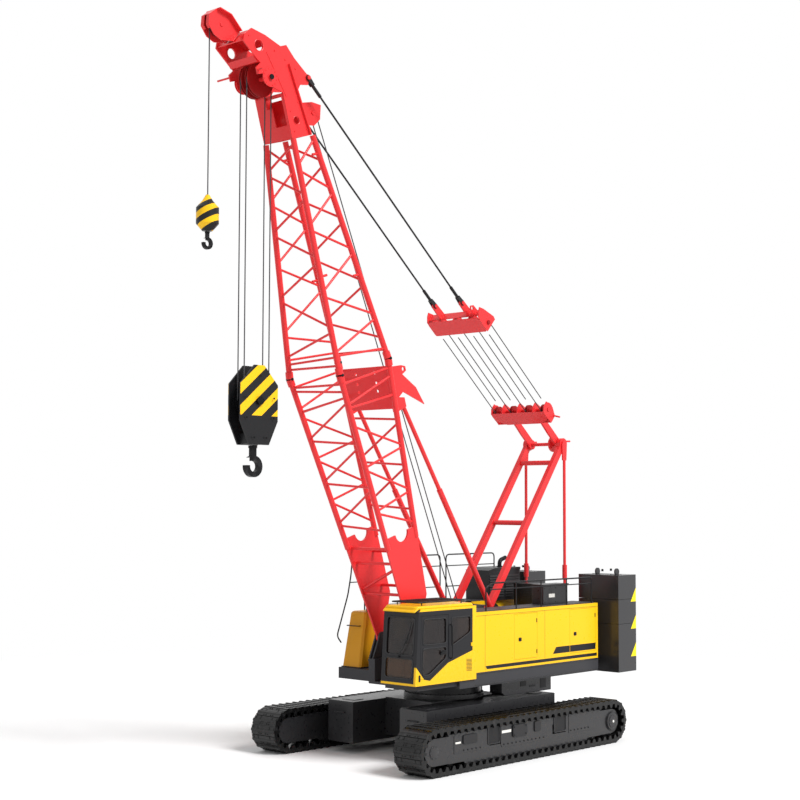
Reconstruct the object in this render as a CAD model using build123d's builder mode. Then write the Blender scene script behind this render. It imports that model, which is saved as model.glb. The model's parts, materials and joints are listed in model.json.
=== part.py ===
"""Crawler crane with a 13 m lattice boom, built as separate solids in one frame.

Millimetres, +X forward, +Y to the left, +Z up. The origin lies on the ground under
the middle of the overall length. The slewing axis stands at x = slew_x.
"""
from build123d import *
from math import cos, pi, radians, sin
import os

os.makedirs("parts", exist_ok=True)

# ---------------------------------------------------------------- driving dimensions
slew_x = -1300.0            # slewing axis, seen from the origin

# tracks
track_gauge = 4570.0        # middle to middle
shoe_width = 800.0
wheel_base = 6528.0         # idler axle to sprocket axle
axle_z = 526.0
shoe_height = 44.0          # from the link line to the tip of the grouser
grouser_height = 20.0
shoe_count = 72
belt_thickness = 62.0       # links inside the shoes
roller_radius = 105.0
roller_count = 10
carrier_count = 2
frame_width = 620.0         # side frame across the machine

# carbody
carbody_half_length = 1250.0
carbody_half_width = 745.0
side_box_length = 4700.0
side_box_outer_y = 1560.0
side_box_floor = 250.0
side_box_height = 950.0
slew_ring_radius = 900.0
slew_ring_floor = 1330.0

# upper frame
frame_floor = 1620.0
deck_floor = 1940.0
upper_half_width = 1650.0
upper_rear_x = -4060.0      # all upper x values are seen from the slewing axis

# side housings
housing_front_x = 800.0
housing_rear_x = -4050.0
housing_top = 3320.0
housing_inner_y = 900.0
housing_wall = 40.0
door_gap = 6.0

# cab
cab_front_x = 2880.0
cab_rear_x = 800.0
cab_side_y = 1700.0
cab_width = 1050.0
cab_floor = 1810.0
cab_top = 3490.0
cab_wall = 50.0
cab_rake = 110.0            # how far the roof edge stands behind the sill
pillar_x = 1770.0           # rear edge of the door
glass = 8.0

# boom
boom_angle = 72.3           # degrees above the ground
foot_x = 1630.0
foot_z = 2680.0
foot_gauge = 1100.0         # foot plates, middle to middle
foot_plate = 50.0
joint_u = 6500.0            # joint of the two sections, along the boom
joint_width = 1610.0        # chord to chord
head_u = 11720.0            # foot of the boxed head
head_width = 880.0
head_depth = 600.0
chord_radius = 66.0
brace_radius = 27.0
head_pin_u = 13080.0        # main head sheaves
head_pin_v = -600.0
head_sheave_radius = 350.0
lug_u = 12950.0             # pendant lugs
lug_v = 520.0
lug_y = 450.0
tip_u = 14330.0             # single sheave for the auxiliary line
tip_v = -1350.0
tip_sheave_radius = 220.0

# gantry and its rigging
apex_x = -4030.0            # pin of the spreader
apex_z = 7385.0
gantry_half_width = 550.0
leg_foot_x = -750.0
leg_foot_z = 2900.0
strut_x = -4030.0
strut_y = 630.0
spreader_reach = 1290.0     # gantry pin to the spreader's sheaves
spreader_half_width = 865.0
bail_distance = 4410.0      # gantry pin to the bail's sheaves
bail_half_width = 840.0
bail_reach = 700.0          # bail's sheaves to the pendant lugs
fall_sheave_radius = 145.0
lane_spacing = 500.0
pendant_radius = 22.0
fall_radius = 12.0
fall_shortfall = 300.0      # each fall stops this far before the other sheave

# backstops
stop_foot_x = -1170.0
stop_foot_z = 2900.0
stop_y = 720.0
stop_u = 5400.0             # where the rods meet the boom
stop_v = 1030.0
stop_radius = 68.0
stop_rod_radius = 50.0
stop_tube_length = 3900.0

# hooks
block_drop = 6950.0         # main block sheave below the head sheave
block_sheave_radius = 350.0
line_spacing = 200.0        # the two block sheaves, middle to middle
ball_drop = 4100.0          # auxiliary ball below the tip sheave

# counterweight
weight_front_x = -4350.0
weight_depth = 780.0
weight_outer_y = 2080.0
weight_inner_y = 840.0
weight_floor = 1567.0
weight_top = 4024.0
base_slab = 600.0

# ---------------------------------------------------------------- shared geometry
rake = radians(boom_angle)
foot = Vector(slew_x + foot_x, 0, foot_z)
boom_plane = Plane(origin=foot, x_dir=(cos(rake), 0, sin(rake)), z_dir=(0, -1, 0))


def boom_at(u, v, y):
    """Point on the boom: u along it, v towards its back, y to the left."""
    return boom_plane.from_local_coords(Vector(u, v, -y))


def upper_at(x, y, z):
    """Point of the upperworks, with x seen from the slewing axis."""
    return Vector(slew_x + x, y, z)


def side_plane(y):
    """Upright plane along the machine at the given y; its local axes are x and z."""
    return Plane(origin=(slew_x, y, 0), x_dir=(1, 0, 0), z_dir=(0, -1, 0))


def bar(start, end, radius, mode=Mode.ADD):
    """Round bar from one point to another."""
    run = end - start
    with BuildSketch(Plane(origin=start, z_dir=run)) as section:
        Circle(radius)
    return extrude(section.sketch, amount=run.length, mode=mode)


def bars(runs, radius):
    """Round bars between pairs of points, joined to the part in one step."""
    add([bar(start, end, radius, Mode.PRIVATE) for start, end in runs])


def block(low, high, mode=Mode.ADD):
    """Box between two corners of the upperworks, x seen from the slewing axis."""
    size = [b - a for a, b in zip(low, high)]
    centre = [(a + b) / 2 for a, b in zip(low, high)]
    with BuildSketch(Plane(origin=upper_at(centre[0], centre[1], low[2]))) as base:
        Rectangle(size[0], size[1])
    return extrude(base.sketch, amount=size[2], mode=mode)


def plate(plane, outline, thickness, mode=Mode.ADD):
    """Flat plate with a straight-edged outline, half its thickness each side of plane."""
    with BuildSketch(plane) as face:
        with BuildLine():
            Polyline(*outline, close=True)
        make_face()
    return extrude(face.sketch, amount=thickness / 2, both=True, mode=mode)


def disc(plane, centre, radius, thickness, mode=Mode.ADD):
    """Disc or pin on a plane, half its thickness each side of it."""
    with BuildSketch(plane) as face:
        with Locations(centre):
            Circle(radius)
    return extrude(face.sketch, amount=thickness / 2, both=True, mode=mode)


def finish(part, label):
    """Name a finished piece and write it to its file."""
    part.label = label
    export_step(part, f"parts/{label}.step")


# ---------------------------------------------------------------- undercarriage
half_base = wheel_base / 2
belt_radius = axle_z - shoe_height
sides = (("left", 1), ("right", -1))


def track_point(distance, height):
    """Point on the loop of a track: distance along it, height outside the link line."""
    arc = pi * belt_radius
    loop = 2 * (wheel_base + arc)
    s = distance % loop
    if s < wheel_base:
        return (s - half_base, belt_radius + height)
    s -= wheel_base
    if s < arc:
        turn = pi / 2 - s / belt_radius
        return (half_base + (belt_radius + height) * cos(turn), (belt_radius + height) * sin(turn))
    s -= arc
    if s < wheel_base:
        return (half_base - s, -belt_radius - height)
    s -= wheel_base
    turn = -pi / 2 - s / belt_radius
    return (-half_base + (belt_radius + height) * cos(turn), (belt_radius + height) * sin(turn))


def track_outline():
    """Outside of the loop: every shoe is a plate with one grouser across its front edge."""
    pitch = 2 * (wheel_base + pi * belt_radius) / shoe_count
    gap = 0.07 * pitch
    plate_top = shoe_height - grouser_height
    profile = (  # share of the pitch, height
        (gap / pitch, 0.0), (gap / pitch, plate_top), (0.38, plate_top), (0.44, shoe_height),
        (0.64, shoe_height), (0.70, plate_top), (1.0, plate_top), (1.0, 0.0))
    return [track_point((shoe + share) * pitch, height)
            for shoe in range(shoe_count) for share, height in profile]


wheel_radius = belt_radius - belt_thickness - 4
beam_top = axle_z + 250
beam_floor = axle_z - 170
beam_nose = half_base - wheel_radius - 60       # half length of the beam between the fork arms
arm_half = 290
arm_y = frame_width / 2 - 25
hub_radius = 230
skirt_thickness = 30
skirt_y = (frame_width - skirt_thickness) / 2
skirt_floor, skirt_end_floor, skirt_top = 150, 230, 850
skirt = ((-beam_nose, skirt_end_floor), (500 - beam_nose, skirt_end_floor), (580 - beam_nose, skirt_floor),
         (beam_nose - 580, skirt_floor), (beam_nose - 500, skirt_end_floor), (beam_nose, skirt_end_floor),
         (beam_nose, skirt_top), (-beam_nose, skirt_top))
for side, sign in sides:
    mid_y = sign * track_gauge / 2
    track_plane = Plane(origin=(slew_x, mid_y, axle_z), x_dir=(1, 0, 0), z_dir=(0, -1, 0))

    with BuildPart() as track:
        with BuildSketch(track_plane):
            with BuildLine():
                Polyline(*track_outline(), close=True)
            make_face()
            SlotCenterToCenter(wheel_base, 2 * (belt_radius - belt_thickness), mode=Mode.SUBTRACT)
        extrude(amount=shoe_width / 2, both=True)
    finish(track.part, f"track_{side}")

    with BuildPart() as track_frame:
        outline = ((-beam_nose, beam_floor), (beam_nose, beam_floor),
                   (beam_nose, beam_top), (-beam_nose, beam_top))
        plate(side_plane(mid_y), outline, frame_width)
        for y in (mid_y - skirt_y, mid_y + skirt_y):
            plate(side_plane(y), skirt, skirt_thickness)
        for x in (-1150, 1150):
            window = ((x - 260, beam_floor + 110), (x + 260, beam_floor + 110),
                      (x + 260, beam_top - 90), (x - 260, beam_top - 90))
            plate(side_plane(mid_y + sign * frame_width / 2), window, 240, Mode.SUBTRACT)
        for y in (mid_y - arm_y, mid_y + arm_y):    # fork arms of the idler and the sprocket
            for end in (-1, 1):
                root, axle = end * (beam_nose - 20), end * half_base
                arm = ((root, axle_z - arm_half), (axle, axle_z - arm_half),
                       (axle, axle_z + arm_half), (root, axle_z + arm_half))
                plate(side_plane(y), arm, 50)
                disc(side_plane(y), (axle, axle_z), arm_half, 50)
            disc(side_plane(y), (-half_base, axle_z), hub_radius + 4, 60, Mode.SUBTRACT)
    finish(track_frame.part, f"track_frame_{side}")

with BuildPart() as idlers:
    for _, sign in sides:
        face = side_plane(sign * track_gauge / 2)
        disc(face, (half_base, axle_z), wheel_radius, 300)
        disc(face, (half_base, axle_z), 60, 330)
finish(idlers.part, "idlers")

with BuildPart() as final_drives:
    for _, sign in sides:
        mid_y = sign * track_gauge / 2
        with BuildSketch(Plane(origin=(slew_x - half_base, mid_y, axle_z), z_dir=(0, -1, 0))) as sprocket:
            Circle(wheel_radius - 40)
            with PolarLocations(wheel_radius - 45, 12):
                Rectangle(70, 80)
        extrude(sprocket.sketch, amount=150, both=True)
        disc(side_plane(mid_y + sign * 235), (-half_base, axle_z), hub_radius, 170)
        disc(side_plane(mid_y + sign * 345), (-half_base, axle_z), 160, 50)
finish(final_drives.part, "final_drives")

with BuildPart() as rollers:
    roller_z = axle_z - belt_radius + belt_thickness + roller_radius
    carrier_z = axle_z + belt_radius - belt_thickness - 80
    for _, sign in sides:
        face = side_plane(sign * track_gauge / 2)
        spread = 2 * (beam_nose - 220) / (roller_count - 1)
        for index in range(roller_count):
            disc(face, (-beam_nose + 220 + index * spread, roller_z), roller_radius, 330)
        for index in range(carrier_count):
            disc(face, ((index - (carrier_count - 1) / 2) * 2300, carrier_z), 80, 250)
finish(rollers.part, "rollers")

carbody_top = slew_ring_floor - 100
with BuildPart() as carbody:
    block((-carbody_half_length, -carbody_half_width, side_box_floor + 100),
          (carbody_half_length, carbody_half_width, carbody_top))
    for _, sign in sides:
        inner, outer = sorted((sign * carbody_half_width, sign * side_box_outer_y))
        block((-side_box_length / 2, inner, side_box_floor),
              (side_box_length / 2, outer, side_box_floor + side_box_height))
        inner, outer = sorted((sign * side_box_outer_y, sign * (track_gauge - frame_width) / 2))
        for x in (-1500, 1500):
            block((x - 380, inner, axle_z - 110), (x + 380, outer, axle_z + 230))
    with BuildSketch(Plane(origin=(slew_x, 0, carbody_top))):
        Circle(slew_ring_radius + 60)
    extrude(amount=slew_ring_floor - carbody_top)
finish(carbody.part, "carbody")

with BuildPart() as slew_ring:
    with BuildSketch(Plane(origin=(slew_x, 0, slew_ring_floor))):
        Circle(slew_ring_radius)
        Circle(slew_ring_radius - 220, mode=Mode.SUBTRACT)
    extrude(amount=frame_floor - 6 - slew_ring_floor)
finish(slew_ring.part, "slew_ring")

# ---------------------------------------------------------------- upper frame
foot_bracket_gap = foot_plate / 2 + 12
bracket_plate = 40.0
beam_outer = 600.0
with BuildPart() as deck_frame:
    block((upper_rear_x, -beam_outer, frame_floor), (foot_x + 350, -400, deck_floor + 260))
    block((upper_rear_x, 400, frame_floor), (foot_x + 350, beam_outer, deck_floor + 260))
    block((upper_rear_x, -beam_outer, frame_floor), (foot_x + 350, beam_outer, frame_floor + 60))
    block((upper_rear_x, -upper_half_width, deck_floor - 40), (housing_front_x, upper_half_width, deck_floor))
    for _, sign in sides:
        inner, outer = sorted((sign * (upper_half_width - 90), sign * upper_half_width))
        block((upper_rear_x, inner, frame_floor), (housing_front_x, outer, deck_floor - 40))
        block((housing_front_x, inner, frame_floor), (foot_x - 300, outer, cab_floor))
    for _, sign in sides:
        for way in (-1, 1):
            y = sign * foot_gauge / 2 + way * (foot_bracket_gap + bracket_plate / 2)
            outline = ((foot_x - 420, deck_floor + 200), (foot_x + 350, deck_floor + 200),
                       (foot_x + 130, foot_z), (foot_x - 130, foot_z))
            plate(side_plane(y), outline, bracket_plate)
            disc(side_plane(y), (foot_x, foot_z), 130, bracket_plate)
        disc(side_plane(sign * foot_gauge / 2), (foot_x, foot_z), 60,
             2 * (foot_bracket_gap + bracket_plate) + 30)
    block((cab_rear_x, beam_outer, frame_floor + 60), (cab_front_x - 200, cab_side_y - 120, cab_floor))
    block((housing_front_x - 60, -upper_half_width, frame_floor + 40),
          (foot_x + 300, -beam_outer, deck_floor - 20))
    for _, sign in sides:    # feet of the gantry legs and of the backstops
        for x, z, y in ((leg_foot_x, leg_foot_z, gantry_half_width), (stop_foot_x, stop_foot_z, stop_y)):
            foot_y = sign * y
            outline = ((x - 200, deck_floor - 20), (x + 200, deck_floor - 20),
                       (x + 70, z - 110), (x - 70, z - 110))
            plate(side_plane(foot_y), outline, 110)
finish(deck_frame.part, "deck_frame")

housing_door_x = ((-1550.0, -660.0), (-3950.0, -2860.0))     # rear edge, front edge
door_floor = deck_floor + 190
door_top = housing_top - 110
for side, sign in sides:
    y_in, y_out = sign * housing_inner_y, sign * upper_half_width
    low_y, high_y = sorted((y_in, y_out))
    with BuildPart() as housing:
        block((housing_rear_x, low_y, deck_floor), (housing_front_x, high_y, housing_top))
        block((housing_rear_x + housing_wall, low_y + housing_wall, deck_floor + housing_wall),
              (housing_front_x - housing_wall, high_y - housing_wall, housing_top - housing_wall),
              Mode.SUBTRACT)
        inner, outer = sorted((sign * (upper_half_width - housing_wall - 5), sign * (upper_half_width + 5)))
        for rear, front in housing_door_x:
            block((rear, inner, door_floor), (front, outer, door_top), Mode.SUBTRACT)
    finish(housing.part, f"housing_{side}")
    for place, (rear, front) in zip(("front", "rear"), housing_door_x):
        inner, outer = sorted((sign * (upper_half_width - housing_wall), y_out))
        with BuildPart() as panel:
            block((rear + door_gap, inner, door_floor + door_gap),
                  (front - door_gap, outer, door_top - door_gap))
        finish(panel.part, f"service_door_{side}_{place}")

with BuildPart() as engine_hood:
    block((-3950, -1550, housing_top), (-2650, -780, 4100))
finish(engine_hood.part, "engine_hood")
with BuildPart() as engine:
    block((-3300, -500, deck_floor + 260), (-1700, 400, 2900))
finish(engine.part, "engine")
with BuildPart() as radiator:
    block((-3980, -550, deck_floor + 260), (-3400, 300, 3760))
finish(radiator.part, "radiator_housing")

with BuildPart() as front_tank:
    with BuildSketch(side_plane(-650)):
        with BuildLine():
            Polyline((830, deck_floor - 20), (1930, deck_floor - 20), (1640, 3500), (860, 3500), close=True)
        make_face()
    extrude(amount=1000)
finish(front_tank.part, "front_tank")

# ---------------------------------------------------------------- winches
drums = (  # x, z, radius: main, auxiliary and boom hoist drums
    (-350.0, 2850.0, 260.0), (560.0, 2720.0, 230.0), (-1350.0, 3080.0, 230.0))
drum_half = 400.0
with BuildPart() as winches:
    for x, z, radius in drums:
        disc(side_plane(0), (x, z), radius, 2 * drum_half)
        for _, sign in sides:
            disc(side_plane(sign * drum_half), (x, z), radius + 90, 30)
            stand = ((x - 200, deck_floor + 260), (x + 200, deck_floor + 260),
                     (x + 90, z + 60), (x - 90, z + 60))
            plate(side_plane(sign * (drum_half + 45)), stand, 30)
        disc(side_plane(0), (x, z), 60, 2 * drum_half + 130)
finish(winches.part, "winches")

# ---------------------------------------------------------------- cab
cab_inner_y = cab_side_y - cab_width
roof_front_x = cab_front_x - cab_rake
cab_outline = ((cab_front_x, cab_floor), (roof_front_x, cab_top - 90), (roof_front_x - 80, cab_top),
               (cab_rear_x, cab_top), (cab_rear_x, cab_floor))
door_outline = ((pillar_x, 2330.0), (2400.0, 1950.0), (2730.0, 1950.0), (2680.0, 3340.0), (pillar_x, 3340.0))
door_windows = (
    ((pillar_x + 75, 2700.0), (2630.0, 2700.0), (2605.0, 3260.0), (pillar_x + 75, 3260.0)),
    ((pillar_x + 75, 2370.0), (2425.0, 2030.0), (2650.0, 2030.0), (2635.0, 2620.0), (pillar_x + 75, 2620.0)))
quarter_window = ((1000.0, 2900.0), (1660.0, 2620.0), (1660.0, 3260.0), (1000.0, 3260.0))
right_window = ((1000.0, 2400.0), (2640.0, 2400.0), (2605.0, 3260.0), (1000.0, 3260.0))
front_windows = ((2470.0, 3300.0), (1960.0, 2400.0))         # lower edge, upper edge
rear_window = (2400.0, 3260.0)


wall_y = cab_side_y - cab_wall / 2
with BuildPart() as cab_shell:
    with BuildSketch(side_plane(cab_side_y)):
        with BuildLine():
            Polyline(*cab_outline, close=True)
        make_face()
    extrude(amount=cab_width)
    with BuildSketch(side_plane(cab_side_y - cab_wall)):
        with BuildLine():
            Polyline(*cab_outline, close=True)
        make_face()
        offset(amount=-cab_wall)
    extrude(amount=cab_width - 2 * cab_wall, mode=Mode.SUBTRACT)
    plate(side_plane(wall_y), door_outline, cab_wall + 20, Mode.SUBTRACT)
    plate(side_plane(wall_y), quarter_window, cab_wall + 20, Mode.SUBTRACT)
    plate(side_plane(cab_inner_y + cab_wall / 2), right_window, cab_wall + 20, Mode.SUBTRACT)
    for low, high in front_windows:
        block((2600, cab_inner_y + 110, low), (2950, cab_side_y - 110, high), Mode.SUBTRACT)
    block((cab_rear_x - 20, cab_inner_y + 110, rear_window[0]),
          (cab_rear_x + 80, cab_side_y - 110, rear_window[1]),
          Mode.SUBTRACT)
finish(cab_shell.part, "cab_shell")

with BuildPart() as cab_glass:
    plate(side_plane(wall_y), quarter_window, glass)
    plate(side_plane(cab_inner_y + cab_wall / 2), right_window, glass)
    rake_run = cab_rake / (cab_top - 90 - cab_floor)
    for low, high in front_windows:
        x_low = cab_front_x - 25 - rake_run * (low - cab_floor)
        x_high = cab_front_x - 25 - rake_run * (high - cab_floor)
        pane = ((x_low, low), (x_high, high), (x_high - glass, high), (x_low - glass, low))
        with BuildSketch(side_plane(cab_side_y - 110)) as section:
            with BuildLine():
                Polyline(*pane, close=True)
            make_face()
        extrude(section.sketch, amount=cab_width - 220)
    block((cab_rear_x + 20, cab_inner_y + 110, rear_window[0]),
          (cab_rear_x + 20 + glass, cab_side_y - 110, rear_window[1]))
finish(cab_glass.part, "cab_glass")

with BuildPart() as cab_door:
    with BuildSketch(side_plane(cab_side_y)):
        with BuildLine():
            Polyline(*door_outline, close=True)
        make_face()
        offset(amount=-door_gap)
        for window in door_windows:
            with BuildLine():
                Polyline(*window, close=True)
            make_face(mode=Mode.SUBTRACT)
    extrude(amount=cab_wall - 8)
finish(cab_door.part, "cab_door")
with BuildPart() as door_glass:
    for window in door_windows:
        plate(side_plane(wall_y), window, glass)
finish(door_glass.part, "cab_door_glass")

seat_y = cab_side_y - cab_width / 2
with BuildPart() as cab_seat:
    block((1250, seat_y - 120, cab_floor + cab_wall), (1650, seat_y + 120, cab_floor + 420))
    block((1180, seat_y - 250, cab_floor + 420), (1720, seat_y + 250, cab_floor + 560))
    block((1060, seat_y - 240, cab_floor + 500), (1200, seat_y + 240, cab_floor + 1200))
finish(cab_seat.part, "cab_seat")

# ---------------------------------------------------------------- counterweight
block_height = (weight_top - weight_floor - base_slab) / 3
with BuildPart() as weight_base:
    block((weight_front_x - weight_depth, -weight_outer_y, weight_floor),
          (weight_front_x, weight_outer_y, weight_floor + base_slab))
    block((weight_front_x - 10, -560, frame_floor + 60), (upper_rear_x, 560, deck_floor + 200))
finish(weight_base.part, "counterweight_base")
weight_mid_x = weight_front_x - weight_depth / 2
with BuildPart() as weights:
    for _, sign in sides:
        inner, outer = sorted((sign * weight_inner_y, sign * weight_outer_y))
        for index in range(3):
            floor_z = weight_floor + base_slab + index * block_height
            block((weight_front_x - weight_depth, inner, floor_z),
                  (weight_front_x, outer, floor_z + block_height - 8))
        block((weight_mid_x - 60, inner + 200, weight_floor + base_slab),
              (weight_mid_x + 60, outer - 200, weight_top))
        for y in (inner + 320, outer - 320):
            disc(side_plane(y), (weight_mid_x, weight_top + 60), 90, 40)
finish(weights.part, "counterweight_blocks")

# ---------------------------------------------------------------- boom
butt_front = ((1200.0, -210.0), (joint_u, -joint_width / 2))      # u, v of the front chord
butt_back = ((900.0, 600.0), (joint_u, joint_width / 2))
plate_top_u = 2550.0


def along(line, u):
    """Second coordinate of a straight line at u."""
    (u0, v0), (u1, v1) = line
    return v0 + (v1 - v0) * (u - u0) / (u1 - u0)


def butt_half(u):
    """Half the width between chords in the lower section."""
    return along(((0, foot_gauge / 2), (joint_u, joint_width / 2)), u)


def top_half(u):
    """Half the width between chords in the upper section."""
    return along(((joint_u, joint_width / 2), (head_u, head_width / 2)), u)


def top_depth(u):
    """Half the depth between chords in the upper section."""
    return along(((joint_u, joint_width / 2), (head_u, head_depth / 2)), u)


def butt_corner(u, back, sign):
    """Centre of a chord of the lower section."""
    return boom_at(u, along(butt_back if back else butt_front, u), sign * butt_half(u))


def top_corner(u, back, sign):
    """Centre of a chord of the upper section."""
    return boom_at(u, top_depth(u) if back else -top_depth(u), sign * top_half(u))


knuckle_radius = 88.0
knuckle_length = 150.0
joint_gap = 24.0            # between the ends of the two sections
web = 30.0                  # gap between two braces at a joint, each side of its middle


def chords(corner, start, end):
    """Four chords with a knuckle at the joint of the sections, each its own solid."""
    joint_end = min(start, end, key=lambda u: abs(u - joint_u))
    inward = knuckle_length if start == joint_end else -knuckle_length
    for back in (False, True):
        for _, sign in sides:
            bar(corner(start, back, sign), corner(end, back, sign), chord_radius)
            bar(corner(joint_end, back, sign), corner(joint_end + inward, back, sign), knuckle_radius)


def cope(corner, start, end):
    """Cut the braces back to the chords, so that each one ends on its tube."""
    add([bar(corner(start, back, sign), corner(end, back, sign), chord_radius, Mode.PRIVATE)
         for back in (False, True) for _, sign in sides], mode=Mode.SUBTRACT)


# ---- lower section
heel_outline_inset = 0.6 * chord_radius     # the side plates end inside the chords
scallop_radius = 215.0
scallop_v = 190.0


def side_frame(sign):
    """Upright plane of one heel plate, along the chords of that side."""
    heel = boom_at(0, 0, sign * foot_gauge / 2)
    line = boom_at(joint_u, 0, sign * joint_width / 2) - heel
    return Plane(origin=heel, x_dir=line, z_dir=line.cross(boom_plane.y_dir))


with BuildPart() as boom_heel:
    for _, sign in sides:
        edge = heel_outline_inset
        outline = ((0, -110), (1200, along(butt_front, 1200) - edge),
                   (plate_top_u, along(butt_front, plate_top_u) - edge),
                   (plate_top_u, along(butt_back, plate_top_u) + edge),
                   (900, along(butt_back, 900) + edge), (0, 110))
        frame_plane = side_frame(sign)
        plate(frame_plane, outline, foot_plate)
        disc(frame_plane, (0, 0), 130, foot_plate)
        disc(frame_plane, (0, 0), 66, foot_plate + 40, Mode.SUBTRACT)
        disc(frame_plane, (plate_top_u, scallop_v), scallop_radius, foot_plate + 40, Mode.SUBTRACT)
finish(boom_heel.part, "boom_heel")

chord_foot_u = plate_top_u - 250
with BuildPart() as boom_butt:
    chords(butt_corner, chord_foot_u, joint_u - joint_gap / 2)
    add(boom_heel.part, mode=Mode.SUBTRACT)     # slots for the heel plates
finish(boom_butt.part, "boom_butt")

butt_panel = 1050.0
butt_faces = (  # low chord, high chord: back?, side; their first joints below the top; panels
    ((False, -1), (False, 1), 1480.0, 600.0, 3),
    ((True, -1), (True, 1), 2370.0, 1470.0, 2),
    ((True, 1), (False, 1), 2040.0, 1170.0, 2),
    ((True, -1), (False, -1), 1850.0, 910.0, 2))
butt_bars = (   # single bars near the ends: back?, side, distance below the top, for each end
    (False, -1, 210.0, False, 1, 210.0), (False, -1, 300.0, False, 1, 390.0),
    (False, -1, 800.0, False, 1, 520.0), (True, -1, 1340.0, True, 1, 1420.0),
    (True, 1, 210.0, False, 1, 210.0), (True, 1, 400.0, False, 1, 690.0),
    (True, 1, 840.0, False, 1, 770.0), (True, 1, 3850.0, False, 1, 3300.0),
    (True, -1, 210.0, False, -1, 210.0), (True, -1, 400.0, False, -1, 720.0),
    (True, -1, 840.0, False, -1, 810.0), (True, -1, 3850.0, False, -1, 3040.0))
heel_bars = (   # bars between the two heel plates: v, u on the right, u on the left
    (-230.0, 2280.0, 2280.0), (-180.0, 1910.0, 1910.0), (-180.0, 1260.0, 1800.0),
    (-150.0, 1150.0, 1150.0), (420.0, 2000.0, 2000.0), (420.0, 1150.0, 1150.0))
with BuildPart() as boom_butt_lacing:
    runs = []
    for low, high, low_start, high_start, panels in butt_faces:
        for index in range(panels):
            low_u = joint_u - low_start - index * butt_panel
            high_u = joint_u - high_start - index * butt_panel
            runs.append((butt_corner(low_u + web, *low), butt_corner(high_u - web, *high)))
            runs.append((butt_corner(low_u - web, *low), butt_corner(high_u - butt_panel + web, *high)))
    for back_a, sign_a, drop_a, back_b, sign_b, drop_b in butt_bars:
        runs.append((butt_corner(joint_u - drop_a, back_a, sign_a),
                     butt_corner(joint_u - drop_b, back_b, sign_b)))
    bars(runs, brace_radius)
    bars([(boom_at(right_u, v, -butt_half(right_u)), boom_at(left_u, v, butt_half(left_u)))
          for v, right_u, left_u in heel_bars], brace_radius + 8)
    cope(butt_corner, chord_foot_u, joint_u)
    add(boom_heel.part, mode=Mode.SUBTRACT)
finish(boom_butt_lacing.part, "boom_butt_lacing")

# ---- joint of the sections
cross_low_u, cross_high_u = joint_u - 1170, joint_u - 170       # plate between the back chords
cross_low = boom_at(cross_low_u, along(butt_back, cross_low_u), 0)
cross_high = boom_at(cross_high_u, along(butt_back, cross_high_u), 0)
cross_line = cross_high - cross_low
cross_plane = Plane(origin=cross_low, x_dir=cross_line, z_dir=cross_line.cross(Vector(0, 1, 0)))
cross_hole = 38.0
fork_gap = 65.0             # middle of the backstop's eye to a cheek of its bracket
fin_y = 800.0
fin_outline = ((6300, 820), (6250, 1170), (6195, 1300), (6090, 1300), (6040, 1150), (5640, 1510),
               (5190, 1680), (5650, 1060), (5530, 820))
fin_eye = (6150, 1215)
with BuildPart() as boom_joint:
    half = joint_width / 2
    length = cross_line.length
    plate(cross_plane, ((0, -half), (length, -half), (length, half), (0, half)), 30)
    for along_plate in (0.43, 0.62, 0.86):
        for y in (-300, 300):
            disc(cross_plane, (along_plate * length, y), cross_hole, 60, Mode.SUBTRACT)
    seat_v = along(butt_back, stop_u)
    for _, sign in sides:
        for y in (stop_y - fork_gap, stop_y + fork_gap):
            plate(boom_plane.offset(-sign * y), ((stop_u - 150, seat_v), (stop_u + 200, seat_v),
                  (stop_u + 110, stop_v + 60), (stop_u - 110, stop_v + 60)), 12)
        base = boom_plane.offset(-sign * stop_y)
        plate(base, ((stop_u - 150, seat_v + 66), (stop_u + 200, seat_v + 78), (stop_u + 200, seat_v + 92),
                     (stop_u - 150, seat_v + 80)), 2 * fork_gap)
        plate(boom_plane.offset(-sign * fin_y), fin_outline, 30)
        disc(boom_plane.offset(-sign * fin_y), fin_eye, 45, 40, Mode.SUBTRACT)
    cope(butt_corner, chord_foot_u, joint_u)
finish(boom_joint.part, "boom_joint")

# ---- upper section
with BuildPart() as boom_top:
    chords(top_corner, joint_u + joint_gap / 2, head_u - 10)
finish(boom_top.part, "boom_top")

top_panels = 7
taper = 0.045               # each panel is shorter by this share of the first
top_start = joint_u + 180
weights = [1 - taper * index for index in range(top_panels)]
panel = (head_u - 40 - top_start) / sum(weights)
top_stations = [top_start + panel * sum(weights[:index]) for index in range(top_panels + 1)]
top_stations[0] = joint_u + 440     # the first joint stands above the bars at the knuckles
top_web = 60.0
ring = ((False, 1), (False, -1), (True, -1), (True, 1))     # the chords in turn: back?, side
foot_bars = (   # back?, side, distance above the joint, for each end
    (False, -1, 210.0, False, 1, 210.0), (False, -1, 330.0, False, 1, 400.0),
    (True, 1, 240.0, False, 1, 430.0), (True, -1, 240.0, False, -1, 430.0), (True, 1, 210.0, True, -1, 210.0))
with BuildPart() as boom_top_lacing:
    runs = []
    for first, second in zip(ring, ring[1:] + ring[:1]):
        for index, (u0, u1) in enumerate(zip(top_stations, top_stations[1:])):
            a, b = (first, second) if index % 2 else (second, first)
            runs.append((top_corner(u0 + top_web, *a), top_corner(u1 - top_web, *b)))
    for back_a, sign_a, rise_a, back_b, sign_b, rise_b in foot_bars:
        runs.append((top_corner(joint_u + rise_a, back_a, sign_a),
                     top_corner(joint_u + rise_b, back_b, sign_b)))
    bars(runs, brace_radius)
    cope(top_corner, joint_u, head_u - 10)
finish(boom_top_lacing.part, "boom_top_lacing")

# ---------------------------------------------------------------- sheaves and ropes
groove_depth = 45.0
groove_width = 50.0
rope_seat = 25.0            # rope line inside the rim
hoist_rope_radius = 13.0
pin_radius = 45.0


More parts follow.
